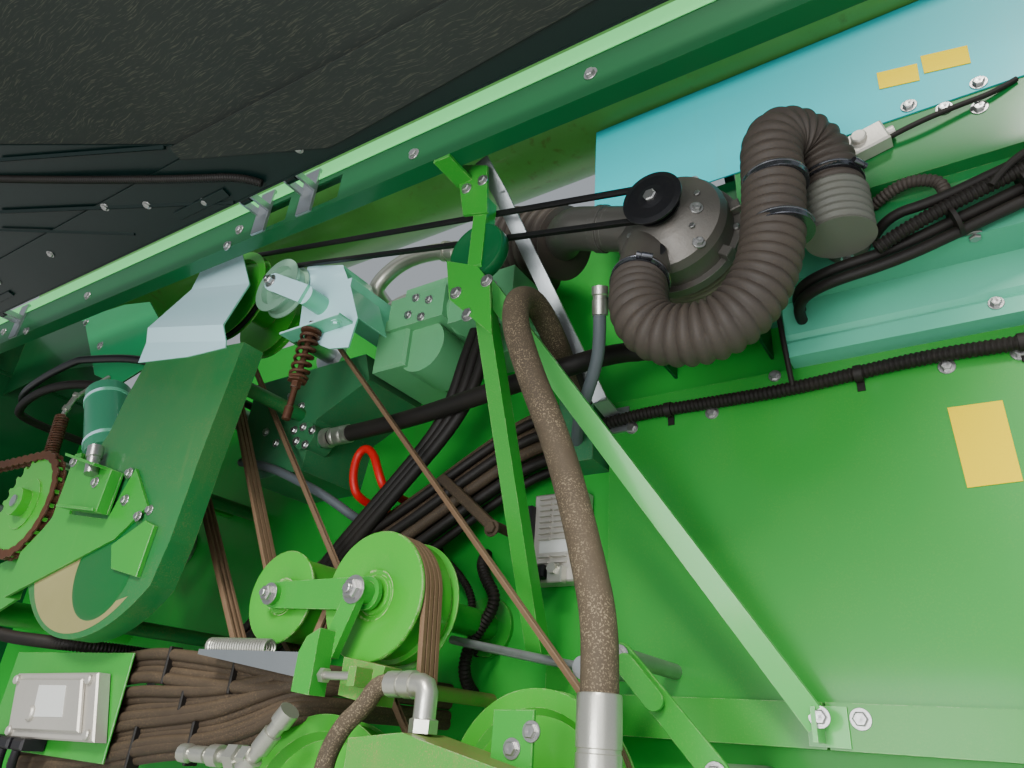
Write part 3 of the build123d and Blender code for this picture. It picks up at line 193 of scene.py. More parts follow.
def tube(line, radius, sides=20):
    """Round tube: point = line(s) + radius(s) * (cos a * side(s) + sin a * other(s))."""
    line = np.asarray(line, float)
    first, second = carried(line)
    turn = np.linspace(0, 2 * np.pi, sides, endpoint=False)
    reach = np.broadcast_to(np.asarray(radius, float), (len(line),))[:, None, None]
    ring = np.cos(turn)[None, :, None] * first[:, None] + np.sin(turn)[None, :, None] * second[:, None]
    return capped((line[:, None] + reach * ring).reshape(-1, 3), len(line), sides)


def smooth_line(route, step, lift=(0, 0, 0)):
    """Points an even step apart along the smooth spline that the route's points control."""
    curve = bpy.data.curves.new("route", "CURVE")
    curve.dimensions = "3D"
    spline = curve.splines.new("NURBS")
    spline.points.add(len(route) - 1)
    spots = np.c_[(np.array(route, float) + lift) * MM, np.ones(len(route))]
    spline.points.foreach_set("co", spots.ravel())
    spline.order_u = 3
    spline.use_endpoint_u = True
    spline.resolution_u = 24
    holder = bpy.data.objects.new("route", curve)
    mesh = bpy.data.meshes.new_from_object(holder)
    line = np.empty(len(mesh.vertices) * 3)
    mesh.vertices.foreach_get("co", line)
    line = line.reshape(-1, 3)
    bpy.data.objects.remove(holder)
    bpy.data.meshes.remove(mesh)
    bpy.data.curves.remove(curve)
    line = line[np.r_[True, np.linalg.norm(np.diff(line, axis=0), axis=1) > 1e-9]]
    length = along(line)
    stops = np.linspace(0, length[-1], max(3, int(round(length[-1] / (step * MM))) + 1))
    return np.stack([np.interp(stops, length, line[:, k]) for k in range(3)], 1)


def along(line):
    """Length of the line up to each of its points."""
    return np.r_[0, np.cumsum(np.linalg.norm(np.diff(line, axis=0), axis=1))]


def ripple(place, pitch):
    """Wave that is 0 at every whole pitch and 1 half way between."""
    return 0.5 - 0.5 * np.cos(2 * np.pi * place / pitch)


def lathe(centre, axis, profile, sides=32):
    """Body of revolution: point = centre + distance * axis + radius * (cos a * first + sin a * second).

    The profile lists (radius, distance along the axis), and its first and last circles are closed flat."""
    axis = unit(axis)
    first, second = square_to(axis)
    radii, depth = np.array(profile, float).T * MM
    turn = np.linspace(0, 2 * np.pi, sides, endpoint=False)
    ring = np.cos(turn)[:, None] * first + np.sin(turn)[:, None] * second
    points = depth[:, None, None] * axis + radii[:, None, None] * ring + np.array(centre, float) * MM
    return capped(points.reshape(-1, 3), len(profile), sides)


def lathe_ring(centre, axis, profile, sides=48):
    """Ring of revolution: as a lathe, with the profile closed on itself and no end faces."""
    points, _ = lathe(centre, axis, profile, sides)
    return points, [grid_quads(len(profile), sides, close_rows=True)]


def spun(centre, axis, steps, sides=32):
    """Turned solid: as a lathe, with the axis added before the first step and after the last."""
    return lathe(centre, axis, ((AXIS, steps[0][1]), *steps, (AXIS, steps[-1][1])), sides)


def straight_bar(centre, axis, r, length, sides=32):
    """Straight round bar of one radius, from its centre's spot along the axis."""
    return spun(centre, axis, ((r, 0), (r, length)), sides)


def prism(outline, low, high, edge=0.8, axis=1):
    """Plate: an outline in the two other axes, between two depths along one axis, with small chamfers."""
    flat = np.array(outline, float)
    before, after = flat - np.roll(flat, 1, 0), np.roll(flat, -1, 0) - flat
    before /= np.linalg.norm(before, axis=1)[:, None]
    after /= np.linalg.norm(after, axis=1)[:, None]
    mitre = np.c_[before[:, 1] + after[:, 1], -before[:, 0] - after[:, 0]]
    scale = np.maximum(1 + (before * after).sum(1), 0.35)
    area = (flat[:, 0] * np.roll(flat[:, 1], -1) - flat[:, 1] * np.roll(flat[:, 0], -1)).sum()
    inner = flat - mitre / scale[:, None] * edge * np.sign(area)
    rows = [(inner, low), (flat, low + edge), (flat, high - edge), (inner, high)]
    points = np.concatenate([np.insert(spots, axis, depth, 1) for spots, depth in rows]) * MM
    return capped(points, 4, len(flat))


def box(low, high, edge=0.8):
    """Block with small chamfers between two corners."""
    (x0, y0, z0), (x1, y1, z1) = low, high
    return prism(((x0, z0), (x1, z0), (x1, z1), (x0, z1)), y0, y1, edge)


def moved(shape, turn, about):
    """The shape turned by a matrix about a point."""
    points, faces = shape
    middle = np.array(about, float) * MM
    return (points - middle) @ np.array(turn).T + middle, faces


def turned(axis, degrees):
    """Three by three matrix of a turn about one of the axes X, Y or Z."""
    return np.array(Matrix.Rotation(math.radians(degrees), 3, axis))


def bolt(spot, axis=FRONT, across=15.0, head=8.0, washer=True, shank=0.0):
    """Hexagon head with a rounded crown, on a washer if wanted and with a shank's end in front of it."""
    r = across / 2 / math.cos(math.pi / 6)
    crown = ((AXIS, head * 0.9), (across * 0.30, head), (across * 0.47, head * 0.98), (r, head * 0.8), (r, 1.6),
             (AXIS, 1.6))
    parts = [lathe(spot, axis, crown, 6)]
    if washer:
        wide = across * 0.82
        parts.append(spun(spot, axis, ((wide, -0.4), (wide, 1.5), (wide - 0.5, 2.0)), 20))
    if shank:
        end = head + shank
        parts.append(lathe(spot, axis, ((across * 0.29, head - 0.5), (across * 0.29, end - 1), (across * 0.24, end)),
                           12))
    return merged(parts)


def round_spots(x, y, z, r, degrees):
    """Spots on a circle that faces the front, at the given angles."""
    return [(x + r * math.cos(a), y, z + r * math.sin(a)) for a in np.radians(degrees)]


def band_clamp(spot, axis, r, wide=13.0, screw_turn=0.0):
    """Steel band round a hose: a thin ring with rolled edges and a worm screw housing on it."""
    half = wide / 2
    ring = lathe(spot, axis, ((r, -half), (r + 2.2, -half), (r + 2.4, -half + 1.5), (r + 1.4, -half + 2.5),
                              (r + 1.4, half - 2.5), (r + 2.4, half - 1.5), (r + 2.2, half), (r, half)), 48)
    axis = unit(axis)
    first, second = square_to(axis)
    a = math.radians(screw_turn)
    out = math.cos(a) * first + math.sin(a) * second
    across = np.cross(axis, out)
    at = np.array(spot, float) + out * (r + 6)
    screw = spun(at - across * 13, across, ((5.0, 0), (5.4, 1), (5.4, 17), (4, 18), (4, 20), (5, 20), (5, 25)), 12)
    return merged([ring, screw])


def coil(start, end, r, wire, turns, rest=1.0, sides=10, count=24):
    """Spring: the wire's line is a helix of radius r from start to end, closed up over its end turns."""
    start, end = np.array(start, float) * MM, np.array(end, float) * MM
    whole = turns + 2 * rest
    t = np.linspace(0, whole, int(whole * count))
    length = np.linalg.norm(end - start)
    wire = wire * MM
    shut = wire * 2.1 * rest
    rise = np.interp(t, (0, rest, rest + turns, whole), (wire, wire + shut, length - wire - shut, length - wire))
    axis = (end - start) / length
    first, second = square_to(axis, guide=1)
    a = 2 * np.pi * t
    line = start + rise[:, None] * axis + r * MM * (np.cos(a)[:, None] * first + np.sin(a)[:, None] * second)
    return tube(line, wire, sides)


def loop_points(stops, step):
    """Closed line of tangents and arcs round circles in X and Z; a stop is x, z, radius and side."""
    n = len(stops)
    leave, arrive = [None] * n, [None] * n
    for i, (x1, z1, r1, s1) in enumerate(stops):
        j = (i + 1) % n
        x2, z2, r2, s2 = stops[j]
        span = math.hypot(x2 - x1, z2 - z1)
        dx, dz = (x2 - x1) / span, (z2 - z1) / span
        lean = (s1 * r1 - s2 * r2) / span
        flat = math.sqrt(1 - lean * lean)
        nx, nz = flat * dz + lean * dx, -flat * dx + lean * dz
        leave[i] = (x1 + s1 * r1 * nx, z1 + s1 * r1 * nz)
        arrive[j] = (x2 + s2 * r2 * nx, z2 + s2 * r2 * nz)
    runs = []
    for i, (x, z, r, side) in enumerate(stops):
        first = math.atan2(arrive[i][1] - z, arrive[i][0] - x)
        last = math.atan2(leave[i][1] - z, leave[i][0] - x)
        turn = (last - first) % (2 * math.pi) if side > 0 else -((first - last) % (2 * math.pi))
        a = np.linspace(first, first + turn, max(3, int(abs(turn) * r / step)))
        runs.append(np.c_[x + r * np.cos(a), z + r * np.sin(a)])
        here, follow = np.array(leave[i]), np.array(arrive[(i + 1) % n])
        count = max(2, int(np.linalg.norm(follow - here) / (step * 4)))
        runs.append(here + (follow - here) * np.linspace(0, 1, count + 1)[1:-1, None])
    return np.concatenate(runs)


def looped_strip(stops, profile, step=6.0):
    """Belt: a closed profile of (outward, depth) carried round the pulleys' line."""
    line = loop_points(stops, step)
    ahead = np.roll(line, -1, 0) - np.roll(line, 1, 0)
    ahead /= np.linalg.norm(ahead, axis=1)[:, None]
    out = np.c_[ahead[:, 1], -ahead[:, 0]]
    rise, depth = np.array(profile, float).T
    flat = line[:, None] + out[:, None] * rise[None, :, None]
    y = np.broadcast_to(depth, flat.shape[:2])
    points = np.stack([flat[..., 0], y, flat[..., 1]], -1).reshape(-1, 3) * MM
    return points, [grid_quads(len(line), len(profile), close_rows=True)]


def run(route, r, sides=16, lift=(0, 0, 0)):
    """Smooth round hose, pipe or cable along a route."""
    return tube(smooth_line(route, 8, lift), r * MM, sides)


def conduit(route, r, pitch, depth, sides=18):
    """Corrugated sleeve: radius = r - depth * (1 - a wave along the line)."""
    line = smooth_line(route, pitch / 5)
    return tube(line, (r - depth * (1 - ripple(along(line), pitch * MM))) * MM, sides)


def strap(start, end, wide, thick):
    """Flat bar with round ends: two half circles about two spots in one XZ plane, joined."""
    (x0, y, z0), (x1, _, z1) = start, end
    a = math.atan2(z1 - z0, x1 - x0)
    turn = np.linspace(np.pi / 2, 3 * np.pi / 2, 9)
    r = wide / 2
    left = np.c_[x0 + r * np.cos(turn + a), z0 + r * np.sin(turn + a)]
    right = np.c_[x1 + r * np.cos(turn + a + np.pi), z1 + r * np.sin(turn + a + np.pi)]
    return prism(np.concatenate([left, right]), y, y + thick)


def on_rail(shape):
    """From the rail drawn level to its slope."""
    return moved(shape, turned("Y", RAIL_TILT), about=RAIL_PIVOT)


def on_cover(shape):
    """From the cover drawn level to where it stands open."""
    return on_rail(moved(shape, turned("X", -COVER_RISE), about=COVER_HINGE))


def row_routes():
    """Routes of the hoses in rows at the lower left: they rise to the right, meet, and turn back to the wall."""
    routes = []
    for k, heights in enumerate(ROW_HEIGHTS):
        for pair in (0, 1):
            front = -452 + 9 * ((k + pair) % 2)
            route = [(x, front, z - 12 * pair) for x, z in zip(ROW_STATIONS, heights)]
            last = heights[-1]
            routes.append(route + [(384, -404, last), (392, -330, last), (392, WALL, last)])
    return routes


# ---------------------------------------------------------------- placing pieces


def piece(name, shape, finish, body="root", stands_for="", slot=None, smooth=35.0):
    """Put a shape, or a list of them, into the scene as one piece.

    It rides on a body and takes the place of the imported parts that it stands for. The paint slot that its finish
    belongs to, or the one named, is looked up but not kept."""
    points, faces = merged(shape) if isinstance(shape, list) else shape
    mesh = bpy.data.meshes.new(name)
    mesh.from_pydata(points.tolist(), [], [face for part in faces for face in part.tolist()])
    mesh.validate()
    mesh.materials.append(finishes[finish])
    holder = bpy.data.objects.new(name, mesh)
    bpy.context.scene.collection.objects.link(holder)
    work = bmesh.new()
    work.from_mesh(mesh)
    bmesh.ops.recalc_face_normals(work, faces=work.faces)
    work.to_mesh(mesh)
    work.free()
    mesh.shade_smooth()
    mesh.set_sharp_from_angle(angle=math.radians(smooth))
    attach(holder, body)
    if stands_for:
        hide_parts(*stands_for.split())
    slot or next(key for key, names in SLOT_FINISHES.items() if finish in names)


# ---------------------------------------------------------------- finishes

# Masks cut out of a noise: its scale, detail and roughness, and the values that become 0 and 1
MASKS = {
    "clouds": (3.0, 8.0, 0.72, 0.35, 0.85),
    "specks": (420.0, 2.0, 0.6, 0.53, 0.63),
    "speckled places": (14.0, 3.0, 0.6, 0.30, 0.62),
    "fibres": (480.0, 2.0, 0.6, 0.58, 0.70),
    "streaks": (40.0, 3.0, 0.6, 0.52, 0.78),
    "breaks": (3.5, 3.0, 0.5, 0.38, 0.68),
    "worn grain": (60.0, 5.0, 0.7, 0.44, 0.56),
}
GREEN, EARTH = (0.1, 0.4, 0.1, 1), (0.35, 0.27, 0.18, 1)


class Net:
    """Short words for adding nodes to one shader tree; inputs take a value or another node's socket."""

    def __init__(self, tree):
        self.tree = tree

    def join(self, value, socket):
        """Set an input, or link it to another node's output."""
        if isinstance(value, bpy.types.NodeSocket):
            self.tree.links.new(value, socket)
        else:
            socket.default_value = value

    def node(self, kind, links=(), **values):
        """New node with its settings; links pairs an input's name or number with what it takes."""
        made = self.tree.nodes.new("ShaderNode" + kind)
        for key, value in values.items():
            setattr(made, key, value)
        for key, value in links:
            self.join(value, made.inputs[key])
        return made

    def place(self, kind="Object"):
        """Coordinates of the point on the piece."""
        return self.node("TexCoord").outputs[kind]

    def axis(self, vector, name):
        """One of a vector's three numbers."""
        return self.node("SeparateXYZ", [(0, vector)]).outputs[name]

    def noise(self, where, scale, detail, rough):
        """Noise texture's value at a place."""
        return self.node("TexNoise", [("Vector", where), ("Scale", scale), ("Detail", detail),
                                      ("Roughness", rough)]).outputs["Fac"]

    def ramp(self, value, low, high):
        """Value cut to 0 at low and 1 at high, smoothly."""
        return self.node("MapRange", [("Value", value), ("From Min", low), ("From Max", high)],
                         interpolation_type="SMOOTHSTEP").outputs["Result"]

    def mask(self, name, where, scale=None):
        """One of the masks in the table, at its own scale or another."""
        own, detail, rough, low, high = MASKS[name]
        return self.ramp(self.noise(where, own if scale is None else scale, detail, rough), low, high)

    def maths(self, kind, a, b):
        """Sum, product or other combination of two values."""
        return self.node("Math", [(0, a), (1, b)], operation=kind).outputs[0]

    def product(self, a, b, *rest):
        """Product of two or more values."""
        made = self.maths("MULTIPLY", a, b)
        return self.product(made, *rest) if rest else made

    def mixed(self, share, a, b):
        """Colour a with colour b laid over it by a share."""
        made = self.node("Mix", [(0, share)], data_type="RGBA")
        for number, value in ((6, a), (7, b)):
            self.join(value, made.inputs[number])
        return made.outputs[2]

    def group(self, name, **given):
        """A placed copy of a node group with its inputs set or joined."""
        made = self.node("Group", node_tree=bpy.data.node_groups[name])
        for key, value in given.items():
            self.join(value, made.inputs[key.replace("_", " ")])
        return made.outputs


def new_group(name, outputs, **inputs):
    """New node group with named inputs and outputs; gives its net, its inputs' sockets and its results' sockets."""
    tree = bpy.data.node_groups.new(name, "ShaderNodeTree")
    for label, default in inputs.items():
        kind = "NodeSocketColor" if isinstance(default, tuple) else "NodeSocketFloat"
        tree.interface.new_socket(label.replace("_", " "), in_out="INPUT", socket_type=kind).default_value = default
    for label, kind in outputs.items():
        tree.interface.new_socket(label, in_out="OUTPUT", socket_type="NodeSocket" + kind)
    return Net(tree), tree.nodes.new("NodeGroupInput").outputs, tree.nodes.new("NodeGroupOutput").inputs


def build_groups():
    """The shared effects: dust, fibres, streaks, edge wear, fine bump and uneven tone."""
    # Dust settles on faces that look up and in soft clouds, with fine specks where a broad noise lets them
    net, given, out = new_group("Settled Dust", {"Colour": "Color", "Mask": "Float"}, Colour=GREEN, Dust=EARTH,
                                Amount=0.4, Patch_Scale=MASKS["clouds"][0], Specks=0.1)
    where = net.place()
    lying = net.ramp(net.axis(net.place("Normal"), "Z"), -0.1, 0.95)
    clouds = net.mask("clouds", where, given["Patch Scale"])
    specks = net.product(net.mask("specks", where), net.mask("speckled places", where), given["Specks"])
    soft = net.maths("ADD", net.product(lying, 0.55), net.product(clouds, 0.55))
    share = net.maths("ADD", net.product(soft, given["Amount"]), specks)
    share = net.node("Clamp", [(0, share), (1, 0.0), (2, 0.92)]).outputs[0]
    net.join(net.mixed(share, given["Colour"], given["Dust"]), out["Colour"])
    net.join(share, out["Mask"])
    # Fibres: two layers of long thin lines at different slants, bent by a broad noise
    net, given, out = new_group("Matted Fibres", {"Mask": "Float"}, Length_Scale=MASKS["fibres"][0])
    where = net.place()
    bend = net.node("TexNoise", [("Vector", where), ("Scale", 7.0), ("Detail", 2.0)]).outputs["Color"]
    bent = net.node("VectorMath", [(0, bend), (1, (0.05, 0.05, 0.0)), (2, where)], operation="MULTIPLY_ADD").outputs[0]
    laid = [net.node("Mapping", [("Vector", bent), ("Rotation", (0.0, 0.0, slant)),
                                 ("Scale", (0.05, 1.0, 0.5))]).outputs[0]
            for slant in (1.0, 2.1)]
    net.join(net.maths("MAXIMUM", *(net.mask("fibres", spot, given["Length Scale"]) for spot in laid)), out["Mask"])
    # Streaks run down the face in long thin lines, broken up along their length
    net, given, out = new_group("Run Down Streaks", {"Mask": "Float"}, Amount=0.3, Width_Scale=MASKS["streaks"][0])
    where = net.place()
    stretch = net.node("VectorMath", [(0, where), (1, (1.0, 1.0, 0.06))], operation="MULTIPLY").outputs[0]
    lines = net.mask("streaks", stretch, given["Width Scale"])
    net.join(net.product(lines, net.mask("breaks", where), given["Amount"]), out["Mask"])
    # Edges lose their paint where a rounded normal leaves the face's own, and a noise lets it
    net, given, out = new_group("Edge Wear", {"Mask": "Float"}, Amount=0.5, Grain_Scale=MASKS["worn grain"][0])
    rounded = net.node("Bevel", [("Radius", 0.002)], samples=3).outputs["Normal"]
    own = net.node("NewGeometry").outputs["Normal"]
    aligned = net.node("VectorMath", [(0, rounded), (1, own)], operation="DOT_PRODUCT").outputs["Value"]
    sharp = net.ramp(net.maths("SUBTRACT", 1.0, aligned), 0.03, 0.20)
    net.join(net.product(sharp, net.mask("worn grain", net.place(), given["Grain Scale"]), given["Amount"]),
             out["Mask"])
    # Fine bump: broad dents with grain on them
    net, given, out = new_group("Fine Bump", {"Normal": "Vector"}, Grain=0.2, Grain_Scale=600.0, Dents=0.1,
                                Dent_Scale=6.0)
    where, normal = net.place(), []
    for strength, scale, detail, rough, distance in (("Dents", "Dent Scale", 2.0, 0.4, 0.01),
                                                     ("Grain", "Grain Scale", 3.0, 0.6, 0.0006)):
        height = net.noise(where, given[scale], detail, rough)
        made = net.node("Bump", [("Strength", given[strength]), ("Distance", distance), ("Height", height), *normal])
        normal = [("Normal", made.outputs["Normal"])]
    net.join(normal[0][1], out["Normal"])
    # Uneven tone: the same colour lighter and darker in broad clouds
    net, given, out = new_group("Uneven Tone", {"Colour": "Color"}, Colour=GREEN, Spread=0.25, Cloud_Scale=2.2)
    cloud = net.noise(net.place(), given["Cloud Scale"], 5.0, 0.6)
    lift = net.maths("ADD", net.product(net.maths("SUBTRACT", cloud, 0.5), given["Spread"]), 1.0)
    net.join(net.node("HueSaturation", [("Color", given["Colour"]), ("Value", lift)]).outputs["Color"], out["Colour"])


def rgba(colour):
    """Linear colour from one given as it looks on a screen, 0 to 255."""
    share = np.array(colour, float) / 255
    linear = np.where(share <= 0.04045, share / 12.92, ((share + 0.055) / 1.055) ** 2.4)
    return (*linear.tolist(), 1.0)


# name: colour, roughness, metallic, coat, dust colour, dust, streaks, wear, worn colour,
# grain, grain scale, dents, tone
FINISH_ROWS = {
    "bright green": ((42, 150, 46), 0.38, 0, 0.25, (150, 176, 90), 0.07, 0.06, 0.7, (170, 196, 140), 0.1, 500, 0.06,
                     0.22),
    "lit green": ((84, 188, 92), 0.34, 0, 0.3, (150, 176, 90), 0.06, 0.06, 0.7, (190, 220, 170), 0.08, 500, 0.05, 0.2),
    "backing green": ((16, 150, 88), 0.4, 0, 0.25, (90, 140, 70), 0.1, 0.1, 0.6, (150, 200, 150), 0.1, 420, 0.06, 0.25),
    "clamp steel": ((104, 106, 114), 0.2, 0.95, 0, (96, 84, 70), 0.22, 0.16, 0.3, (200, 200, 205), 0.2, 300, 0.06,
                    0.35),
    "label white": ((214, 216, 214), 0.5, 0, 0.1, (160, 150, 120), 0.12, 0.05, 0.1, (190, 190, 180), 0.05, 400, 0.02,
                    0.1),
    "side green": ((40, 150, 52), 0.38, 0, 0.25, (130, 176, 60), 0.08, 0.05, 0.4, (150, 180, 120), 0.06, 420, 0.05,
                   0.25),
    "dark green": ((4, 72, 34), 0.4, 0, 0.2, (60, 86, 40), 0.12, 0.1, 0.4, (80, 124, 80), 0.1, 420, 0.08, 0.3),
    "rail green": ((8, 88, 46), 0.4, 0, 0.2, (50, 76, 36), 0.12, 0.1, 0.3, (80, 124, 80), 0.1, 420, 0.08, 0.3),
    "wall green": ((30, 160, 50), 0.52, 0, 0.1, (92, 100, 50), 0.2, 0.12, 0.2, (40, 64, 40), 0.1, 420, 0.12, 0.45),
    "canister green": ((56, 142, 108), 0.34, 0, 0.3, (130, 150, 110), 0.08, 0.06, 0.5, (150, 170, 130), 0.1, 420, 0.04,
                       0.2),
    "cover green": ((0, 24, 22), 0.42, 0, 0.15, (24, 40, 38), 0.14, 0.14, 0.3, (50, 76, 66), 0.1, 420, 0.1, 0.35),
    # painted sunlit green: the rail's cap strip and lower lip, painted bright as sunlight and a highlight
    "painted sunlit green": ((120, 255, 150), 0.4, 0, 0.2, (170, 230, 130), 0.05, 0.05, 0.1, (120, 150, 110), 0.08, 420, 0.08,
                  0.12),
    "tube green": ((96, 176, 84), 0.36, 0, 0.4, (96, 84, 30), 0.24, 0.6, 0.2, (80, 84, 40), 0.12, 300, 0.06, 0.4),
    # deck green with painted sky: the deck panel's paint with painted sky reflection in its light turquoise
    "deck green with painted sky": ((16, 190, 200), 0.34, 0, 0.3, (110, 170, 150), 0.05, 0.1, 0.2, (90, 120, 100), 0.08, 420, 0.04,
                   0.12),
    "band green": ((24, 118, 56), 0.34, 0, 0.3, (130, 120, 60), 0.12, 0.12, 0.4, (150, 170, 130), 0.08, 420, 0.05, 0.3),
    "pale green": ((104, 196, 160), 0.34, 0, 0.4, (150, 160, 120), 0.08, 0.06, 0.6, (190, 220, 200), 0.1, 420, 0.05,
                   0.18),
    "guard green": ((26, 112, 56), 0.44, 0, 0.2, (140, 130, 84), 0.22, 0.16, 0.5, (140, 160, 110), 0.14, 380, 0.08,
                    0.3),
    "disc teal": ((2, 96, 40), 0.44, 0, 0.15, (100, 110, 70), 0.12, 0.05, 0.2, (90, 100, 80), 0.1, 380, 0.05, 0.25),
    "pulley green": ((56, 164, 42), 0.34, 0, 0.3, (150, 150, 90), 0.1, 0.04, 0.8, (190, 200, 150), 0.08, 500, 0.03,
                     0.2),
    "cast green": ((40, 112, 72), 0.46, 0, 0.2, (120, 116, 84), 0.3, 0.16, 0.6, (150, 160, 130), 0.5, 300, 0.2, 0.35),
    "pump green": ((96, 172, 120), 0.42, 0, 0.2, (130, 130, 90), 0.32, 0.16, 0.7, (190, 200, 180), 0.5, 300, 0.2, 0.35),
    "lower green": ((56, 150, 52), 0.46, 0, 0.15, (160, 120, 86), 0.62, 0.3, 0.9, (190, 180, 150), 0.6, 260, 0.2, 0.5),
    "cast grey": ((100, 98, 94), 0.42, 0.6, 0, (110, 84, 58), 0.34, 0.24, 0.5, (190, 188, 184), 0.7, 260, 0.2, 0.5),
    "satin black": ((12, 13, 18), 0.4, 0, 0.2, (70, 64, 58), 0.25, 0.1, 0.5, (80, 80, 80), 0.15, 400, 0.04, 0.3),
    "zinc": ((170, 176, 180), 0.32, 0.9, 0, (100, 86, 66), 0.28, 0.22, 0.2, (210, 210, 210), 0.3, 300, 0.1, 0.4),
    "bolt steel": ((178, 178, 178), 0.28, 0.95, 0, (96, 78, 56), 0.3, 0.1, 0.2, (220, 220, 220), 0.25, 500, 0.03, 0.35),
    "rusty steel": ((82, 50, 34), 0.58, 0.5, 0, (110, 72, 42), 0.5, 0.3, 0.6, (168, 158, 146), 0.6, 240, 0.1, 0.6),
    "belt brown": ((112, 88, 66), 0.64, 0, 0, (170, 146, 120), 0.22, 0.08, 0.5, (70, 58, 48), 0.4, 700, 0.03, 0.35),
    "thin belt": ((16, 16, 18), 0.5, 0, 0, (80, 72, 62), 0.14, 0.05, 0.3, (50, 48, 46), 0.35, 700, 0.03, 0.3),
    "hose brown": ((60, 50, 40), 0.62, 0, 0, (130, 110, 84), 0.34, 0.12, 0.3, (48, 40, 34), 0.4, 520, 0.05, 0.55),
    "duct brown": ((66, 60, 56), 0.55, 0, 0, (110, 92, 70), 0.3, 0.06, 0.5, (36, 32, 30), 0.3, 420, 0.06, 0.4),
    "bellows": ((100, 102, 84), 0.48, 0, 0, (128, 118, 90), 0.36, 0.16, 0.2, (70, 70, 54), 0.3, 420, 0.05, 0.35),
    "drum grey": ((96, 98, 92), 0.5, 0, 0, (122, 112, 92), 0.36, 0.12, 0.2, (80, 80, 76), 0.3, 420, 0.06, 0.3),
    "lining": ((38, 44, 41), 0.95, 0, 0, (70, 70, 58), 0.22, 0.0, 0.0, (60, 60, 56), 0.0, 300, 0.3, 0.6),
    "black case": ((20, 20, 28), 0.45, 0, 0, (78, 70, 60), 0.28, 0.1, 0.3, (90, 90, 90), 0.2, 400, 0.04, 0.25),
    "alloy": ((206, 202, 194), 0.42, 0.6, 0, (150, 134, 108), 0.26, 0.12, 0.2, (230, 230, 225), 0.5, 420, 0.05, 0.3),
    "idler grey": ((150, 196, 170), 0.32, 0.3, 0.2, (130, 124, 96), 0.22, 0.12, 0.4, (170, 180, 170), 0.15, 420, 0.04,
                   0.25),
    "fitting": ((196, 196, 186), 0.28, 0.88, 0, (116, 100, 76), 0.28, 0.1, 0.2, (225, 225, 220), 0.2, 400, 0.05, 0.35),
    "speckled hose": ((70, 60, 48), 0.66, 0, 0, (158, 142, 116), 0.26, 0.05, 0.1, (60, 50, 44), 0.5, 520, 0.05, 0.45),
    "loom black": ((22, 20, 19), 0.55, 0, 0, (74, 62, 50), 0.34, 0.1, 0.2, (56, 52, 48), 0.3, 500, 0.03, 0.35),
    "grey hose": ((84, 92, 98), 0.5, 0, 0, (104, 96, 82), 0.3, 0.1, 0.2, (70, 70, 70), 0.2, 500, 0.03, 0.3),
    "red hose": ((196, 22, 20), 0.36, 0, 0, (140, 80, 60), 0.12, 0.05, 0.1, (160, 60, 50), 0.15, 400, 0.03, 0.2),
    "yellow plate": ((255, 222, 0), 0.7, 0, 0.0, (220, 190, 40), 0.05, 0.04, 0.1, (200, 180, 120), 0.04, 400, 0.02,
                     0.05),
    "tan dust": ((140, 136, 90), 0.85, 0, 0, (176, 164, 120), 0.5, 0.1, 0.1, (100, 100, 80), 0.4, 300, 0.1, 0.4),
}
# share of fine light specks on the dusty hoses and belts
SPECKS = {"speckled hose": 0.6, "hose brown": 0.3, "duct brown": 0.14, "belt brown": 0.15, "guard green": 0.2,
          "rusty steel": 0.4, "cast green": 0.25, "lower green": 0.35}
# Painted sky reflection: outward faces and the ledge's lower band are blended toward a pale sky colour; coordinate, its
# axis, start and end of the blend, sky colour
PAINTED_SKY_REFLECTIONS = {"pale green": ("Normal", "Y", -0.62, -0.86, (204, 246, 255)),
         "band green": ("Object", "Z", 0.82, 0.64, (92, 190, 160))}
FEW_SPECKS = 0.08
FIBRE_COLOUR, FIBRE_SHARE = (100, 100, 84), 0.30
METAL_SHINE, PAINT_SHINE, PLATE_SHINE = 0.5, 0.32, 0.05
COAT_ROUGHNESS, DUST_DULLS = 0.12, 0.45
finishes = {}


def build_finish(name, row):
    """Material: uneven tone, worn edges, streaks and settled dust over one base, painted sky reflection on some, with
    fine bump.
    """
    colour, rough, metal, coat, dust_colour, dust, streaks, wear, worn, grain, grain_scale, dents, tone = row
    made = bpy.data.materials.new(name)
    made.use_nodes = True
    net = Net(made.node_tree)
    shader = made.node_tree.nodes["Principled BSDF"].inputs
    toned = net.group("Uneven Tone", Colour=rgba(colour), Spread=tone)["Colour"]
    base = net.mixed(net.group("Edge Wear", Amount=wear)["Mask"], toned, rgba(worn))
    base = net.mixed(net.group("Run Down Streaks", Amount=streaks)["Mask"], base, rgba(dust_colour))
    settled = net.group("Settled Dust", Colour=base, Dust=rgba(dust_colour), Amount=dust,
                        Specks=SPECKS.get(name, FEW_SPECKS))
    base = settled["Colour"]
    # Painted sky reflection: faces or a band blended toward a pale sky colour
    if name in PAINTED_SKY_REFLECTIONS:
        kind, axis, low, high, reflected_sky = PAINTED_SKY_REFLECTIONS[name]
        base = net.mixed(net.ramp(net.axis(net.place(kind), axis), low, high), base, rgba(reflected_sky))
    if name == "lining":
        base = net.mixed(net.product(net.group("Matted Fibres")["Mask"], FIBRE_SHARE), base, rgba(FIBRE_COLOUR))
    net.join(base, shader["Base Color"])
    net.join(net.maths("ADD", net.product(settled["Mask"], DUST_DULLS), rough), shader["Roughness"])
    if metal:
        net.join(net.product(net.maths("SUBTRACT", 1.0, settled["Mask"]), metal), shader["Metallic"])
    shader["Coat Weight"].default_value = coat
    shader["Coat Roughness"].default_value = COAT_ROUGHNESS
    paint_shine = PLATE_SHINE if name == "yellow plate" else PAINT_SHINE
    shader["Specular IOR Level"].default_value = METAL_SHINE if metal else paint_shine
    net.join(net.group("Fine Bump", Grain=grain, Grain_Scale=grain_scale, Dents=dents)["Normal"], shader["Normal"])
    finishes[name] = made


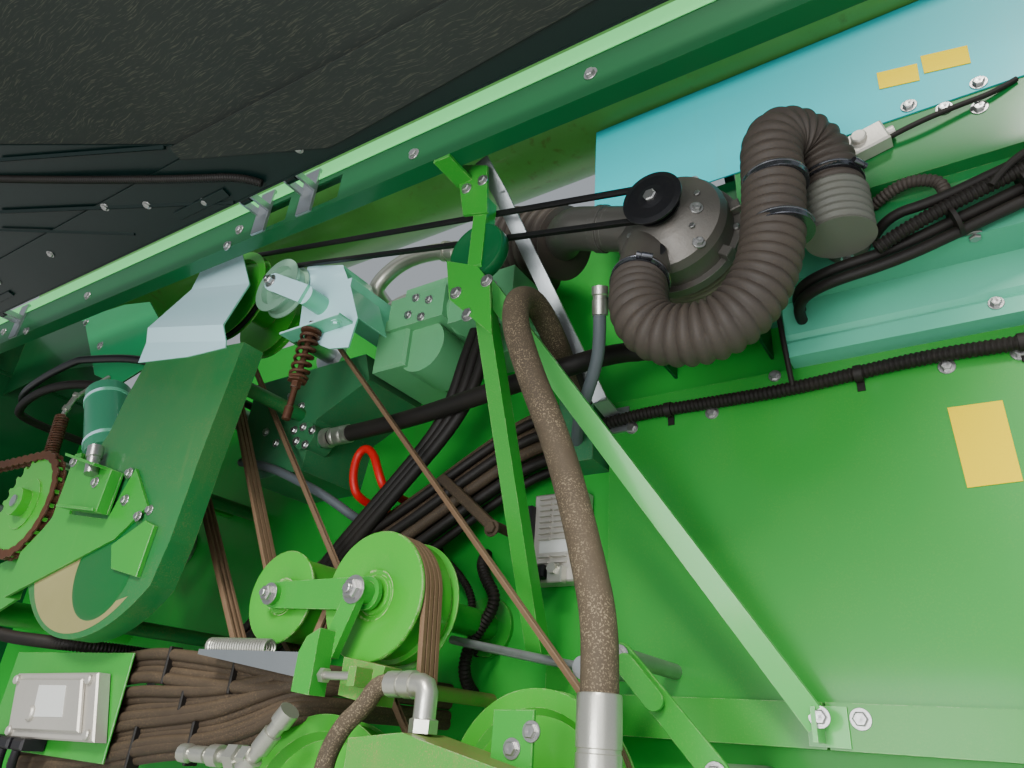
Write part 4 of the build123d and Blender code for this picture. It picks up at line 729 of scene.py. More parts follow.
NODE_FINISHES = {
    "bright green": ("sill", "post", "idler_link", "chain_arm"),
    "lit green": ("brace",),
    "canister green": ("canister",),
    "side green": ("side_sheet",),
    "band green": ("ledge_stack",),
    "dark green": ("rear_frame", "tube_saddles", "end_panel", "blower_mount"),
    "rail green": ("cover_rail",),
    "wall green": ("inner_wall",),
    "cover green": ("cover_skin", "cover_ribs"),
    "tube green": ("unloading_tube",),
    "deck green with painted sky": ("deck_panel",),
    "pale green": ("hood", "box_bracket", "tension_arm"),
    "guard green": ("drive_guard",),
    "pulley green": ("drive_pulley", "idler_large", "idler_small", "lower_pulley", "fan_pulley",
                     "triple_pulley", "sprocket", "far_sprocket"),
    "alloy": ("control_unit", "engine_control"),
    "idler grey": ("top_idler",),
    "cast green": ("gear_case", "valve_block"),
    "pump green": ("pump_block",),
    "lower green": ("lower_casting",),
    "cast grey": ("blower_housing",),
    "satin black": ("blower_pulley",),
    "zinc": ("hinge_brackets", "stay_strap", "shafts", "spring_tensioner", "hose_clamps", "spring_box"),
    "fitting": ("hose_fittings",),
    "rusty steel": ("chain",),
    "belt brown": ("belt_quad", "belt_triple", "belt_long"),
    "thin belt": ("belt_blower",),
    "hose brown": ("hose_main", "hose_gear", "hose_bundle", "hose_rows"),
    "duct brown": ("duct", "air_intake"),
    "bellows": ("blower_bellows", "duct_end"),
    "lining": ("cover_lining",),
}

# Paint slots and the finishes that belong to each
SLOT_FINISHES = {
    "zinc": ("clamp steel", "fitting", "bolt steel", "rusty steel", "zinc"),
    "hose_rubber": ("speckled hose", "hose brown", "grey hose", "red hose"),
    "black_case": ("loom black", "black case", "satin black"),
    "green_paint": ("bright green", "pale green", "backing green", "painted sunlit green", "disc teal", "pulley green", "tan dust",
                    "yellow plate"),
    "dark_green_paint": ("cover green", "dark green", "rail green"),
    "green_casting": ("pump green",),
    "cast_housing": ("cast grey",),
    "alloy_case": ("alloy", "label white"),
    "bellows_plastic": ("bellows", "drum grey"),
    "duct_rubber": ("duct brown",),
    "belt_rubber": ("belt brown", "thin belt"),
    "lining_mat": ("lining",),
}


# ---------------------------------------------------------------- settings


class BaySettings(bpy.types.PropertyGroup):
    """Sizes and light that a user would change."""

    duct_pitch: FloatProperty(name="Duct rib pitch",
                              description="Distance from one rib of the corrugated duct to the next", default=0.0165,
                              min=0.004, unit="LENGTH")
    duct_rib: FloatProperty(name="Duct rib height", description="How far the duct's ribs stand out of its grooves",
                            default=0.0055, min=0.0, unit="LENGTH")
    lens: FloatProperty(name="Lens", description="Focal length of the camera in millimetres", default=25.167)
    sky: FloatProperty(name="Sky strength", description="Strength of the pale studio surround", default=0.42)
    sun: FloatProperty(name="Sun strength", description="Strength of the low sun", default=3.0)
    floor_colour: FloatVectorProperty(name="Floor", description="Colour of the studio floor", subtype="COLOR",
                                      default=(0.72, 0.72, 0.70))


class BAY_OT_finishes(bpy.types.Operator):
    """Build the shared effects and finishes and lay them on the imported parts"""

    bl_idname = "bay.finishes"
    bl_label = "Finishes"

    def execute(self, context):
        build_groups()
        for name, row in FINISH_ROWS.items():
            build_finish(name, row)
        for finish, nodes in NODE_FINISHES.items():
            for name in nodes:
                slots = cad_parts[name].material_slots
                for number in range(len(slots)):
                    slots[number].material = finishes[finish]
        return {"FINISHED"}


def looking(spot, aim):
    """Matrix of a light at a spot that shines towards its aim, with its top upwards."""
    away = unit(np.array(spot, float) - np.array(aim, float))
    side = unit(np.cross(UP, away))
    return standing(side, np.cross(away, side), away, spot)


def standing(right, up, back, spot):
    """Matrix that stands an object at a spot with its three directions as given."""
    return Matrix([[right[k], up[k], back[k], spot[k]] for k in range(3)] + [[0, 0, 0, 1]])


def shown(name, data, place=None):
    """New object in the scene that holds the data at its place."""
    made = bpy.data.objects.new(name, data)
    bpy.context.scene.collection.objects.link(made)
    if place is not None:
        made.matrix_world = place
    return made


class BAY_OT_stage(bpy.types.Operator):
    """Camera at the photograph's place, pale floor and soft light"""

    bl_idname = "bay.stage"
    bl_label = "Stage"

    def execute(self, context):
        settings = context.scene.bay
        lens = bpy.data.cameras.new("Camera")
        lens.sensor_width = SENSOR_WIDTH
        lens.lens = settings.lens
        lens.clip_start, lens.clip_end = CAMERA_REACH
        context.scene.camera = shown("Camera", lens, standing(*CAMERA))
        low = CAD_BOX[0][2] - FLOOR_GAP
        mesh = bpy.data.meshes.new("floor")
        corners = [(x * FLOOR_HALF, y * FLOOR_HALF, low) for x, y in ((-1, -1), (1, -1), (1, 1), (-1, 1))]
        mesh.from_pydata(corners, [], [(0, 1, 2, 3)])
        paint = bpy.data.materials.new("floor")
        paint.use_nodes = True
        shader = paint.node_tree.nodes["Principled BSDF"]
        shader.inputs["Base Color"].default_value = (*settings.floor_colour, 1.0)
        shader.inputs["Roughness"].default_value = FLOOR_ROUGHNESS
        mesh.materials.append(paint)
        shown("floor", mesh)
        world = bpy.data.worlds.new("studio")
        context.scene.world = world
        world.use_nodes = True
        surround = world.node_tree.nodes["Background"]
        surround.inputs["Color"].default_value = SKY_COLOUR
        surround.inputs["Strength"].default_value = settings.sky
        sun = bpy.data.lights.new("sun", "SUN")
        sun.energy, sun.angle, sun.color = settings.sun, SUN_ANGLE, SUN_COLOUR
        shown("sun", sun, looking(SUN_SPOT, SUN_AIM))
        for name, spot, aim, power, size in AREA_LIGHTS:
            light = bpy.data.lights.new(name, "AREA")
            light.energy, light.size = power, size
            shown(name, light, looking(spot, aim))
        return {"FINISHED"}


class BAY_OT_duct(bpy.types.Operator):
    """Corrugated duct with its clamps, the drum that takes it, and the blower's two bellows"""

    bl_idname = "bay.duct"
    bl_label = "Duct and Blower"

    def execute(self, context):
        settings = context.scene.bay
        line = smooth_line(DUCT_ROUTE, settings.duct_pitch / MM / 8)
        wave = ripple(along(line), settings.duct_pitch)
        piece("corrugated_duct", tube(line, 0.046 - settings.duct_rib * (1 - wave ** 0.45), 48), "duct brown",
              stands_for="duct", smooth=70)
        bands = [band_clamp((1137, -404, 682), (0.04, 0, 1), 45, 12, 200),
                 band_clamp((1138, -404, 768), UP, 45, 12, 200),
                 band_clamp((922, -410, 654), (0, -0.4, -0.92), 45, 14, 150),
                 band_clamp((1205, -322, 806), UP, 45, 12, 60)]
        piece("duct_clamps", bands, "clamp steel")
        # The drum's radius waves along its height, as a ring bellows
        z = np.linspace(700, 778, 79)
        ribs = np.c_[50 - 3.2 * ripple(z - 700, 13), z - 700]
        drum = [(AXIS, 0), (44, 0)] + ribs.tolist() + [(47, 83), (AXIS, 83)]
        stub = straight_bar((1205, -322, 742), BACK, 34, 82, 36)
        piece("duct_drum", [lathe((1205, -322, 700), UP, drum, 56), stub], "drum grey", stands_for="duct_end",
              smooth=60)
        clips = [moved(box((1160, -376, 742 + k * 22), (1172, -362, 756 + k * 22), 2), turned("Z", 12),
                       about=(1166, -370, 750))
                 for k in range(2)]
        piece("drum_clips", clips, "fitting")
        # Ribbed drum behind the blower, with a bead at each end
        y = np.linspace(-316, -242, 93)
        ribs = np.c_[88 - 7 * (0.5 + 0.5 * np.cos(2 * np.pi * (y + 316) / 12.3)) ** 1.5, y]
        profile = [(AXIS, -318), (86, -318)] + ribs.tolist() + [(86, -240), (AXIS, -240)]
        piece("blower_drum", lathe((961, 0, 779), BACK, profile, 72), "bellows", stands_for="blower_bellows", smooth=60)
        # Intake: smooth pipe from the blower, ribbed bellows and its stub on the wall
        pipe = tube(smooth_line(((848, -362, 822), (808, -362, 838), (768, -362, 853), (705, -285, 908),
                                 (688, -262, 920)), 8),
                    0.040, 40)
        neck = lathe((840, -362, 825), (-0.93, 0, 0.36), ((40, 0), (43, 2), (43, 16), (40, 18)), 40)
        piece("intake_pipe", [pipe, neck], "cast grey", stands_for="air_intake")
        start, end = np.array((700.0, -262, 912)), np.array((545.0, -238, 990))
        whole = float(np.linalg.norm(end - start))
        depth = np.linspace(4, whole - 4, 120)
        ribs = np.c_[76 - 12 * ripple(depth - 4, 26) ** 2.2, depth]
        body = lathe(start, end - start, [(AXIS, 0), (60, 0)] + ribs.tolist() + [(60, whole), (AXIS, whole)], 64)
        stub = straight_bar((545, -238, 960), BACK, 50, 134, 36)
        piece("intake_bellows", [body, stub], "duct brown", stands_for="air_intake", slot="bellows_plastic", smooth=60)
        bolts = [bolt(spot, FRONT, 10, 6, False)
                 for spot in round_spots(961, -335, 779, 99, (12, 52, 92, 205, 245, 322, 352))]
        bolts += [bolt(spot, FRONT, 9, 5, False)
                  for spot in round_spots(961, -402, 779, 62, (20, 80, 140, 200, 260, 320))]
        bolts += [bolt(spot, (0.5, -0.85, -0.05), 13, 8) for spot in ((1017, -405, 770), (1013, -389, 715))]
        # A thin flat black disc on the housing: painted shade standing in for the dark inside of a hole
        hole = lathe((948, -414.5, 708), (0.45, -0.85, 0.28), ((AXIS, 1.2), (17, 1.0), (19, 0.2), (AXIS, 0.1)), 28)
        piece("housing_hole_shade", hole, "satin black", slot="cast_housing")
        lugs = [prism(((961 + 88 * math.cos(a - 0.1), 779 + 88 * math.sin(a - 0.1)),
                       (961 + 88 * math.cos(a + 0.1), 779 + 88 * math.sin(a + 0.1)),
                       (961 + 112 * math.cos(a + 0.08), 779 + 112 * math.sin(a + 0.08)),
                       (961 + 112 * math.cos(a - 0.08), 779 + 112 * math.sin(a - 0.08)))[::-1],
                      -352, -336, 1.5) for a in np.radians((12, 92, 205, 322))]
        piece("housing_bolts", bolts, "bolt steel")
        piece("housing_lugs", lugs, "cast grey")
        face = [bolt((961, -452.5, 779), FRONT, 19, 9)]
        piece("blower_bolt", face, "bolt steel", body="blower_pulley_turning")
        return {"FINISHED"}


class BAY_OT_hoses(bpy.types.Operator):
    """Big hose, gear hose, hose bundles and rows, each along the part's own route"""

    bl_idname = "bay.hoses"
    bl_label = "Hoses"

    def execute(self, context):
        piece("big_hose", run(MAIN_ROUTE, 22, 32), "speckled hose", stands_for="hose_main")
        collar = ((AXIS, 0), (27, 0), (27, 24), (22, 26), (22, 33), (25.6, 34), (25.6, 52), (24.4, 53), (24.4, 57),
                  (25.6, 58), (25.6, 108), (24.8, 112), (21, 113))
        piece("big_ferrule", lathe((908, -500, -60), UP, collar, 28), "fitting")
        piece("gear_case_hose", run(GEAR_ROUTE, 18, 28), "loom black", stands_for="hose_gear", slot="hose_rubber")
        collar = ((AXIS, 0), (23, 0), (23, 16), (17, 18), (17, 24), (20.6, 25), (20.6, 34), (19.4, 36), (20.6, 38),
                  (20.6, 58), (19.6, 60), (20.6, 62), (20.6, 76), (18, 77))
        piece("gear_ferrule", lathe((96, -270, 577), RIGHT, collar, 24), "fitting")
        lines = [run(BUNDLE_ROUTE, 13, 20, (0, 0, lift)) for lift in BUNDLE_LIFTS]
        for drop in (0, 21):
            ledge = [(x, y, z - drop) for x, y, z in LEDGE_ROUTE]
            lines.append(run(ledge, 9, 16))
        piece("bundle_hoses", lines, "loom black", stands_for="hose_bundle", slot="hose_rubber")
        # More strands lie on and between the bundle's hoses
        lines = [run(BUNDLE_ROUTE, r, 16, (0, depth, lift)) for r, depth, lift in
                 ((12, -23, 17), (12, -23, 51), (11, -22, 85), (12, 0, 94), (10, -38, 34), (10, -20, -14), (9, 12, -24),
                  (9, -40, 66))]
        piece("bundle_strands", lines[:4], "hose brown")
        piece("thin_strands", lines[4:], "loom black", slot="hose_rubber")
        bar = moved(box((404, -246, 388), (574, -226, 408), 3), turned("Y", 40), about=(489, -236, 398))
        piece("bundle_bar", [bar, bolt((560, -246, 337), FRONT, 19, 10),
                             straight_bar((548, -240, 350), BACK, 9, 136, 16)], "hose brown", slot="zinc")
        lines = [conduit(((452, WALL, 330), (472, -150, 305), (495, -160, 266), (518, -160, 239), (516, -160, 214),
                          (503, -160, 193), (464, -160, 141), (456, -150, 89), (450, WALL, 70)), 12, 7.0, 2.0),
                 conduit(((330, WALL, 345), (360, -140, 325), (405, -140, 294), (445, -140, 253), (456, -140, 215),
                          (456, -140, 161), (450, WALL, 140)), 8, 6.0, 1.5)]
        piece("wall_looms", lines, "loom black")
        lines = [run([(x + side, y, z + side * 0.3) for x, y, z in PUMP_ROUTE], 12, 16) for side in (0, 27, 54)]
        piece("pump_hoses", lines, "loom black", slot="hose_rubber")
        rows = [run(route, 10.5, 14) for route in row_routes()]
        piece("elbow_hose", run(ELBOW_HOSE_ROUTE, 13.5, 20), "speckled hose", stands_for="hose_rows")
        piece("row_hoses", rows, "hose brown", stands_for="hose_rows")
        ties = [box((x - 3, -463.5, low), (x + 3, -437, high), 2) for x, low, high in
                ((20, 44, 108), (-20, -92, -26), (90, 4, 36), (210, 34, 96), (140, -76, -10))]
        piece("hose_ties", ties, "loom black")
        piece("hose_b", run(((596, -285, 800), (640, -322, 776), (672, -320, 740), (700, -300, 690), (724, -262, 622),
                             (712, -176, 585)), 11), "loom black", slot="hose_rubber")
        piece("hose_c", run(((866, -244, 700), (842, -320, 690), (832, -372, 668), (823, -350, 627), (805, -320, 588),
                             (766, -290, 533), (725, -240, 515), (690, -176, 510)), 11), "grey hose")
        piece("hose_c_ferrule", lathe((833, -371, 672), (-0.15, 0.35, -0.92),
                                      ((AXIS, -22), (14, -22), (14, -8), (12, -6), (12, 0), (13.5, 1), (13.5, 26),
                                       (11, 27)), 20), "fitting")
        piece("red_loop", run(((214, WALL, 424), (207, -240, 423), (196, -262, 470), (199, -262, 526), (224, -262, 540),
                               (252, -262, 516), (274, -262, 470), (280, -240, 436), (284, WALL, 436)), 9), "red hose")
        piece("grey_hose", run(((-160, -292, 548), (-60, -302, 526), (64, -292, 474), (150, -262, 428),
                                (196, -220, 390), (200, WALL, 380)), 10), "grey hose")
        return {"FINISHED"}


class BAY_OT_belts(bpy.types.Operator):
    """V-belts as separate strands round the part's own sheaves"""

    bl_idname = "bay.belts"
    bl_label = "Belts"

    def execute(self, context):
        for name, stops, band, count, finish, node_name in BELT_ROWS:
            front, back, thick = band
            pitch = (back - front) / count
            inner = [(x, z, r if side > 0 else r + thick, side) for x, z, r, side in stops]
            strands = [looped_strip(inner, ((0.2, front + k * pitch + 3.4), (thick - 2, front + k * pitch + 1.1),
                                            (thick, front + k * pitch + 1.7), (thick, front + (k + 1) * pitch - 1.7),
                                            (thick - 2, front + (k + 1) * pitch - 1.1),
                                            (0.2, front + (k + 1) * pitch - 3.4)))
                       for k in range(count)]
            piece(name, strands, finish, stands_for=node_name)
        return {"FINISHED"}


class BAY_OT_springs(bpy.types.Operator):
    """Coil springs of the tensioners, their rods, eyes and nuts"""

    bl_idname = "bay.springs"
    bl_label = "Springs"

    def execute(self, context):
        base = [box((110, -462, 744), (290, -421, 749), 1)]
        base.append(bolt((262, -441, 744), DOWN, 14, 8))
        piece("spring_plate", base, "pale green", stands_for="spring_tensioner", slot="zinc")
        axis = np.array((-18.0, 0, -205))
        rod = spun((190, -442, 745), axis, ((6.5, 0), (6.5, 176), (9, 178), (9, 204), (6, 206)), 16)
        cups = [spun((190, -442, 742), axis, ((22, 0), (22, 4), (15, 8)), 24),
                spun((180, -442, 628), axis, ((21, 0), (21, 4), (11, 5), (11, 18)), 6),
                bolt((190, -442, 749), (0.09, 0, 1), 19, 14)]
        piece("spring_rod", [rod, *cups], "rusty steel")
        piece("press_spring", coil((189.5, -442, 736), (180, -442, 628), 17.5, 3.6, 5.2, 0.8), "rusty steel")
        # Wedge spring above the folded plate of the lower tensioner
        piece("wedge_spring", coil((176, -490, 104), (330, -490, 101), 12.5, 2.4, 22, 1.0, 8, 16), "fitting")
        # Left tensioner: pull spring, eye and turnbuckle up to the backing plate, and its lower pin in the wall
        piece("pull_spring", coil((-680, -490, 560), (-699, -490, 686), 15, 2.8, 15, 1.0, 8, 16), "rusty steel")
        parts = [run(((-699, -490, 684), (-700, -488, 712), (-706, -470, 760), (-716, -404, 846)), 6, 12),
                 spun((-700, -489, 704), (-0.06, 0.3, 1), ((10, 0), (10, 12), (7, 14), (7, 46), (10, 48), (10, 58)), 6),
                 run(((-680, -496, 562), (-680, -480, 556), (-680, -300, 556), (-680, WALL, 556)), 9, 12)]
        piece("turnbuckle", parts, "fitting")
        return {"FINISHED"}


class BAY_OT_fasteners(bpy.types.Operator):
    """Bolts and nuts on sheets, rails, pulleys and levers"""

    bl_idname = "bay.fasteners"
    bl_label = "Fasteners"

    def execute(self, context):
        heads = [bolt(spot, FRONT, across) for spot, across in WALL_BOLTS]
        heads += [bolt((1371, -233, 706), DOWN, 15), bolt((1203, -258, 708), DOWN, 12)]
        for x, z, r, front, count in RING_BOLTS:
            heads += [bolt((x + r * math.cos(a), front, z + r * math.sin(a)), FRONT, 13, 7)
                      for a in np.linspace(0.4, 0.4 + 2 * np.pi, count, endpoint=False)]
        rail = [bolt((x, -550, z), FRONT, 15) for x, z in
                ((-674, 1025), (-6, 1006), (-36, 971), (-1180, 1040), (520, 992), (900, 990), (1290, 980),
                 (-1000, 996))]
        piece("bolt_heads", heads + rail, "bolt steel")
        for name, body, spot, across in (("idler_bolt", "root", (473, -474, 189), 27),
                                         ("small_idler_bolt", "root", (255, -456, 194), 23),
                                         ("top_idler_bolt", "root", (54, -478, 890), 20)):
            piece(name, bolt(spot, FRONT, across, 13, True, 5), "bolt steel", body=body)
        return {"FINISHED"}


class BAY_OT_looms(bpy.types.Operator):
    """Corrugated looms, thin cables and their clips along the sheets"""

    bl_idname = "bay.looms"
    bl_label = "Looms"

    def execute(self, context):
        piece("side_loom", conduit(((716, -150, 548), (760, -143, 555), (807, -142.5, 561), (940, -142.5, 558),
                                    (1078, -142.5, 556), (1271, -142.5, 572), (1401, -142.5, 565),
                                    (1548, -142.5, 562)), 12, 7.5, 2.0), "loom black")
        clips = [merged([lathe((x, -142.5, z), RIGHT, ((12.4, -6), (14, -6), (14, 6), (12.4, 6)), 24),
                         box((x - 6, -133, z - 26), (x + 6, -130.2, z + 2), 0.8)]) for x, z in ((860, 559), (1180, 563),
                                 (1400, 566))]
        piece("loom_clips", clips, "loom black")
        lines = [run(((1075, -174, 690), (1078, -182, 660), (1081, -182, 612), (1080, -150, 560)), 4.5, 10),
                 run(((1290, -275, 900), (1330, -282, 905), (1395, -276, 918), (1440, -270, 925), (1470, -266, 940)),
                     4.5, 10),
                 run(((1228, -275, 905), (1190, -275, 908), (1150, -270, 900), (1120, -262, 905)), 4, 10)]
        piece("thin_cables", lines, "loom black")
        lines = [conduit(((1246, -286, 690), (1290, -288, 712), (1380, -286, 742), (1470, -284, 768),
                          (1552, -280, 788)), 11, 7.0, 2.0),
                 run(((1240, -252, 730), (1265, -284, 745), (1330, -290, 742), (1430, -284, 772), (1552, -276, 806)), 8,
                     12),
                 run(((1400, -300, 736), (1440, -306, 780), (1500, -296, 772), (1552, -290, 800)), 5, 10)]
        piece("ledge_loom", lines, "loom black")
        piece("ledge_branch", conduit(((1250, -245, 800), (1290, -268, 812), (1340, -268, 800), (1350, -266, 772),
                                       (1345, -268, 740)), 10, 6.5, 1.8), "duct brown", slot="black_case")
        ties = [lathe((x, -268, z), (0.96, 0, 0.27), ((17, -3), (25, -3), (25, 3), (17, 3)), 20) for x, z in
                ((1350, 716), (1440, 744), (1500, 762))]
        piece("ledge_ties", ties, "loom black")
        piece("left_conduit", conduit(((-860, -470, 180), (-734, -474, 150), (-600, -474, 128), (-450, -474, 118),
                                       (-330, -452, 112), (-318, -300, 112),
                                       (-318, WALL, 112)), 14, 7.0, 2.0), "loom black")
        # Black pipe and hose that cross the upper left, up to the hood's side
        piece("left_pipe", run(((-1240, -404, 866), (-1180, -440, 866), (-980, -470, 872), (-781, -476, 880),
                                (-742, -470, 878), (-520, -440, 846), (-390, -400, 800),
                                (-380, WALL, 796)), 11, 16), "satin black")
        piece("left_hose", run(((-1300, WALL, 830), (-1290, -380, 826), (-1180, -430, 838), (-980, -448, 848),
                                (-800, -420, 840), (-700, -300, 830),
                                (-690, WALL, 826)), 13, 16), "loom black", slot="hose_rubber")
        return {"FINISHED"}


class BAY_OT_cover(bpy.types.Operator):
    """Strips, latch plates, wiring and bolts under the raised cover, and the rail's cap and lip, both painted bright
    green as a sunlit strip and highlight
    """

    bl_idname = "bay.cover"
    bl_label = "Cover Details"

    def execute(self, context):
        low = 1006.0
        strips = [on_cover(box((x0, y - wide / 2, low - 5), (x1, y + wide / 2, low - 0.2), 1))
                  for x0, x1, y, wide in ((-110, 70, -640, 22), (-1300, -900, -650, 18))]
        strips += [on_cover(lathe((x0, y0, low), (x1 - x0, y1 - y0, 0),
                                  ((AXIS, 0), (wide, 0.1), (wide, length), (AXIS, length + 0.1)), 4))
                   for x0, y0, x1, y1, wide, length in ((-600, -836, -297, -734, 5, 700),
                                                        (-669, -802, -490, -730, 4, 420),
                                                        (-424, -924, 35, -771, 5, 470))]
        piece("cover_strips", strips, "cover green", body="cover")
        loom = conduit(((-1320, -1240, low + 2), (-900, -1070, low + 2), (-488, -892, low + 2), (-160, -768, low - 8),
                        (20, -700, low - 9), (150, -655, low - 9), (176, -626, low - 9)), 9, 6.0, 1.6)
        piece("cover_loom", on_cover(loom), "loom black", body="cover")
        heads = [on_cover(bolt((x, y, low), DOWN, 13, 6)) for x, y in
                 ((-280, -730), (-162, -691), (-8, -641), (162, -724), (244, -685), (312, -654), (-600, -694),
                  (-900, -694))]
        piece("cover_bolts", heads, "bolt steel", body="cover")
        sheet = prism(((-1399, -1500), (-1399, -742), (36, -742), (36, -771), (-384, -944), (-800, -1130)), 1012,
                      1016.5, 0.5, axis=2)
        piece("cover_sheet", on_cover(sheet), "cover green", body="cover")
        mat = prism(((37, -771), (37, -742.5), (37, -741), (377, -632), (418, -632), (1129, -664), (1280, -700),
                     (1280, -741)),
                    1000, 1005.8, 1.0, axis=2)
        piece("cover_mat", on_cover(mat), "lining", body="cover")
        # The rail's cap strip and lower lip: thin plates whose bright colour is painted sunlight and a painted
        # highlight
        cap = box((-1450, -548.9, 1070.2), (1560, -546.6, 1098), 0.5)
        lip = box((-1450, -552.2, 1052), (1560, -550.1, 1070), 0.5)
        piece("rail_cap", on_rail(merged([cap, lip])), "painted sunlit green")
        return {"FINISHED"}


class BAY_OT_plates(bpy.types.Operator):
    """Blank yellow plates, sensor box, control boxes and the guard's pressed disc"""

    bl_idname = "bay.plates"
    bl_label = "Plates and Boxes"

    def execute(self, context):
        signs = [prism(((1290, 487), (1359, 486), (1359, 364), (1293, 362)), -131.4, -130.1, 0.3),
                 prism(((1295, 1055), (1354, 1043), (1352, 1005), (1294, 1017)), -266.6, -265.1, 0.3),
                 prism(((1361, 1056), (1425, 1042), (1423, 1003), (1360, 1016)), -266.6, -265.1, 0.3)]
        piece("yellow_plates", signs, "yellow plate")
        parts = [moved(box((1230, -292, 880), (1292, -262.2, 922), 3), turned("Y", -14), about=(1260, -275, 900)),
                 spun((1252, -292, 902), FRONT, ((12, 0), (12, 8), (10, 10)), 20),
                 spun((1288, -276, 908), (1, 0, 0.2), ((9, 0), (9, 14), (7, 15)), 16)]
        piece("sensor_box", parts, "alloy")
        # Finned box on the wall, with its connectors at the left
        fins = [box((x0, -159, 290 + k * 11), (x1, -149.5, 294 + k * 11), 0.8) for k in range(12) for x0,
                x1 in ((604, 628), (634, 664))
                if k not in (2, 3)]
        body = [box((588, -150.5, 258), (692, -106, 424), 3), *fins]
        piece("engine_box", body, "alloy", stands_for="engine_control")
        label = prism(((604, 311), (664, 311), (664, 334), (604, 334)), -151.2, -150.2, 0.2)
        piece("engine_label", label, "label white")
        joints = [spun((648, -151, 276), FRONT, ((13, 0), (13, 16), (10, 18), (10, 30)), 6),
                  box((634, -172, 252), (664, -149.5, 282), 2)]
        piece("engine_joints", joints, "fitting")
        plugs = [box((590, -178, 262), (630, -150, 284), 3), box((578, -168, 300), (592, -140, 400), 3),
                 run(((600, -170, 264), (596, -176, 240), (570, -160, 220), (552, WALL, 214)), 7, 12),
                 run(((618, -170, 264), (612, -176, 236), (580, -156, 208), (566, WALL, 196)), 6, 12)]
        piece("engine_plugs", plugs, "black case")
        # Control unit: sand-cast case with a raised middle on the green bracket
        case = [prism(((-430, 50), (-128, 57), (-75, -57), (-387, -66)), -500, -472.2, 3),
                prism(((-395, 40), (-160, 45), (-118, -44), (-360, -52)), -509, -499, 3)]
        case += [spun((x, -500, z), FRONT, ((9, 0), (9, 6), (7, 8)), 18) for x, z in
                 ((-416, 38), (-144, 44), (-96, -46), (-376, -54))]
        case.append(spun((-300, -509, -20), FRONT, ((14, 0), (14, 5), (11, 8)), 22))
        piece("control_case", case, "alloy", stands_for="control_unit")
        label = prism(((-306, 30), (-206, 32), (-184, -22), (-292, -26)), -510.2, -508.9, 0.3)
        piece("control_label", label, "label white")
        rack = [box((-520, -472, -90), (-75, -468, 95), 1), box((-500, -468, -85), (-470, WALL, -80), 1),
                box((-150, -468, -85), (-120, WALL, -80), 1)]
        piece("control_bracket", rack, "bright green", stands_for="control_unit")
        plugs = [box((-480 + k * 54, -520, -84), (-440 + k * 54, -472, -64), 4) for k in range(4)]
        plugs += [run(((-470 + k * 54, -510, -84), (-476 + k * 54, -510, -120), (-500 + k * 50, -470, -180),
                       (-500 + k * 40, WALL, -240)), 8, 12)
                  for k in range(4)]
        piece("control_plugs", plugs, "black case")
        # Pressed disc in the guard's face, with dust round it, and the slotted plate above
        face = prism(((-1083, 1141), (-791, 1116), (-640, 1082), (-500, 949), (-518, 843), (-657, 811), (-818, 878),
                      (-1024, 1118))[::-1],
                     -401.4, -400.1, 0.3)
        piece("backing_face", face, "backing green")
        gusset = prism(((-470, 1006), (WALL, 1006), (WALL, 1150), (-230, 1178), (-400, 1198), (-545, 1130),
                        (-545, 1060)), -1446.5, -1440, 0.5, axis=0)
        joined = prism(((-1446, 1175), (-1083, 1141), (-1024, 1118), (-850, 915), (-1100, 958), (-1446, 938))[::-1],
                       -400, -396, 0.5)
        piece("end_gusset", [gusset, joined], "dark green")
        disc = spun((-163, -530, 250), FRONT, ((92, 2.2), (99, 1.6), (104, 0.2)), 72)
        piece("guard_disc", disc, "disc teal")
        turn = np.radians(np.linspace(168, 318, 40))
        outer = np.c_[-222 + 232 * np.cos(turn), 318 + 196 * np.sin(turn)]
        inner = np.c_[-163 + 105 * np.cos(turn), 250 + 105 * np.sin(turn)][::-1]
        piece("guard_dust", prism(np.concatenate([outer, inner]), -530.35, -530.05, 0.1), "tan dust")
        slot_plate = prism(((-147, 287), (-120, 239), (-25, 219), (-16, 315), (-52, 328)), -540, -530.2, 1)
        piece("slot_plate", slot_plate, "bright green")
        return {"FINISHED"}


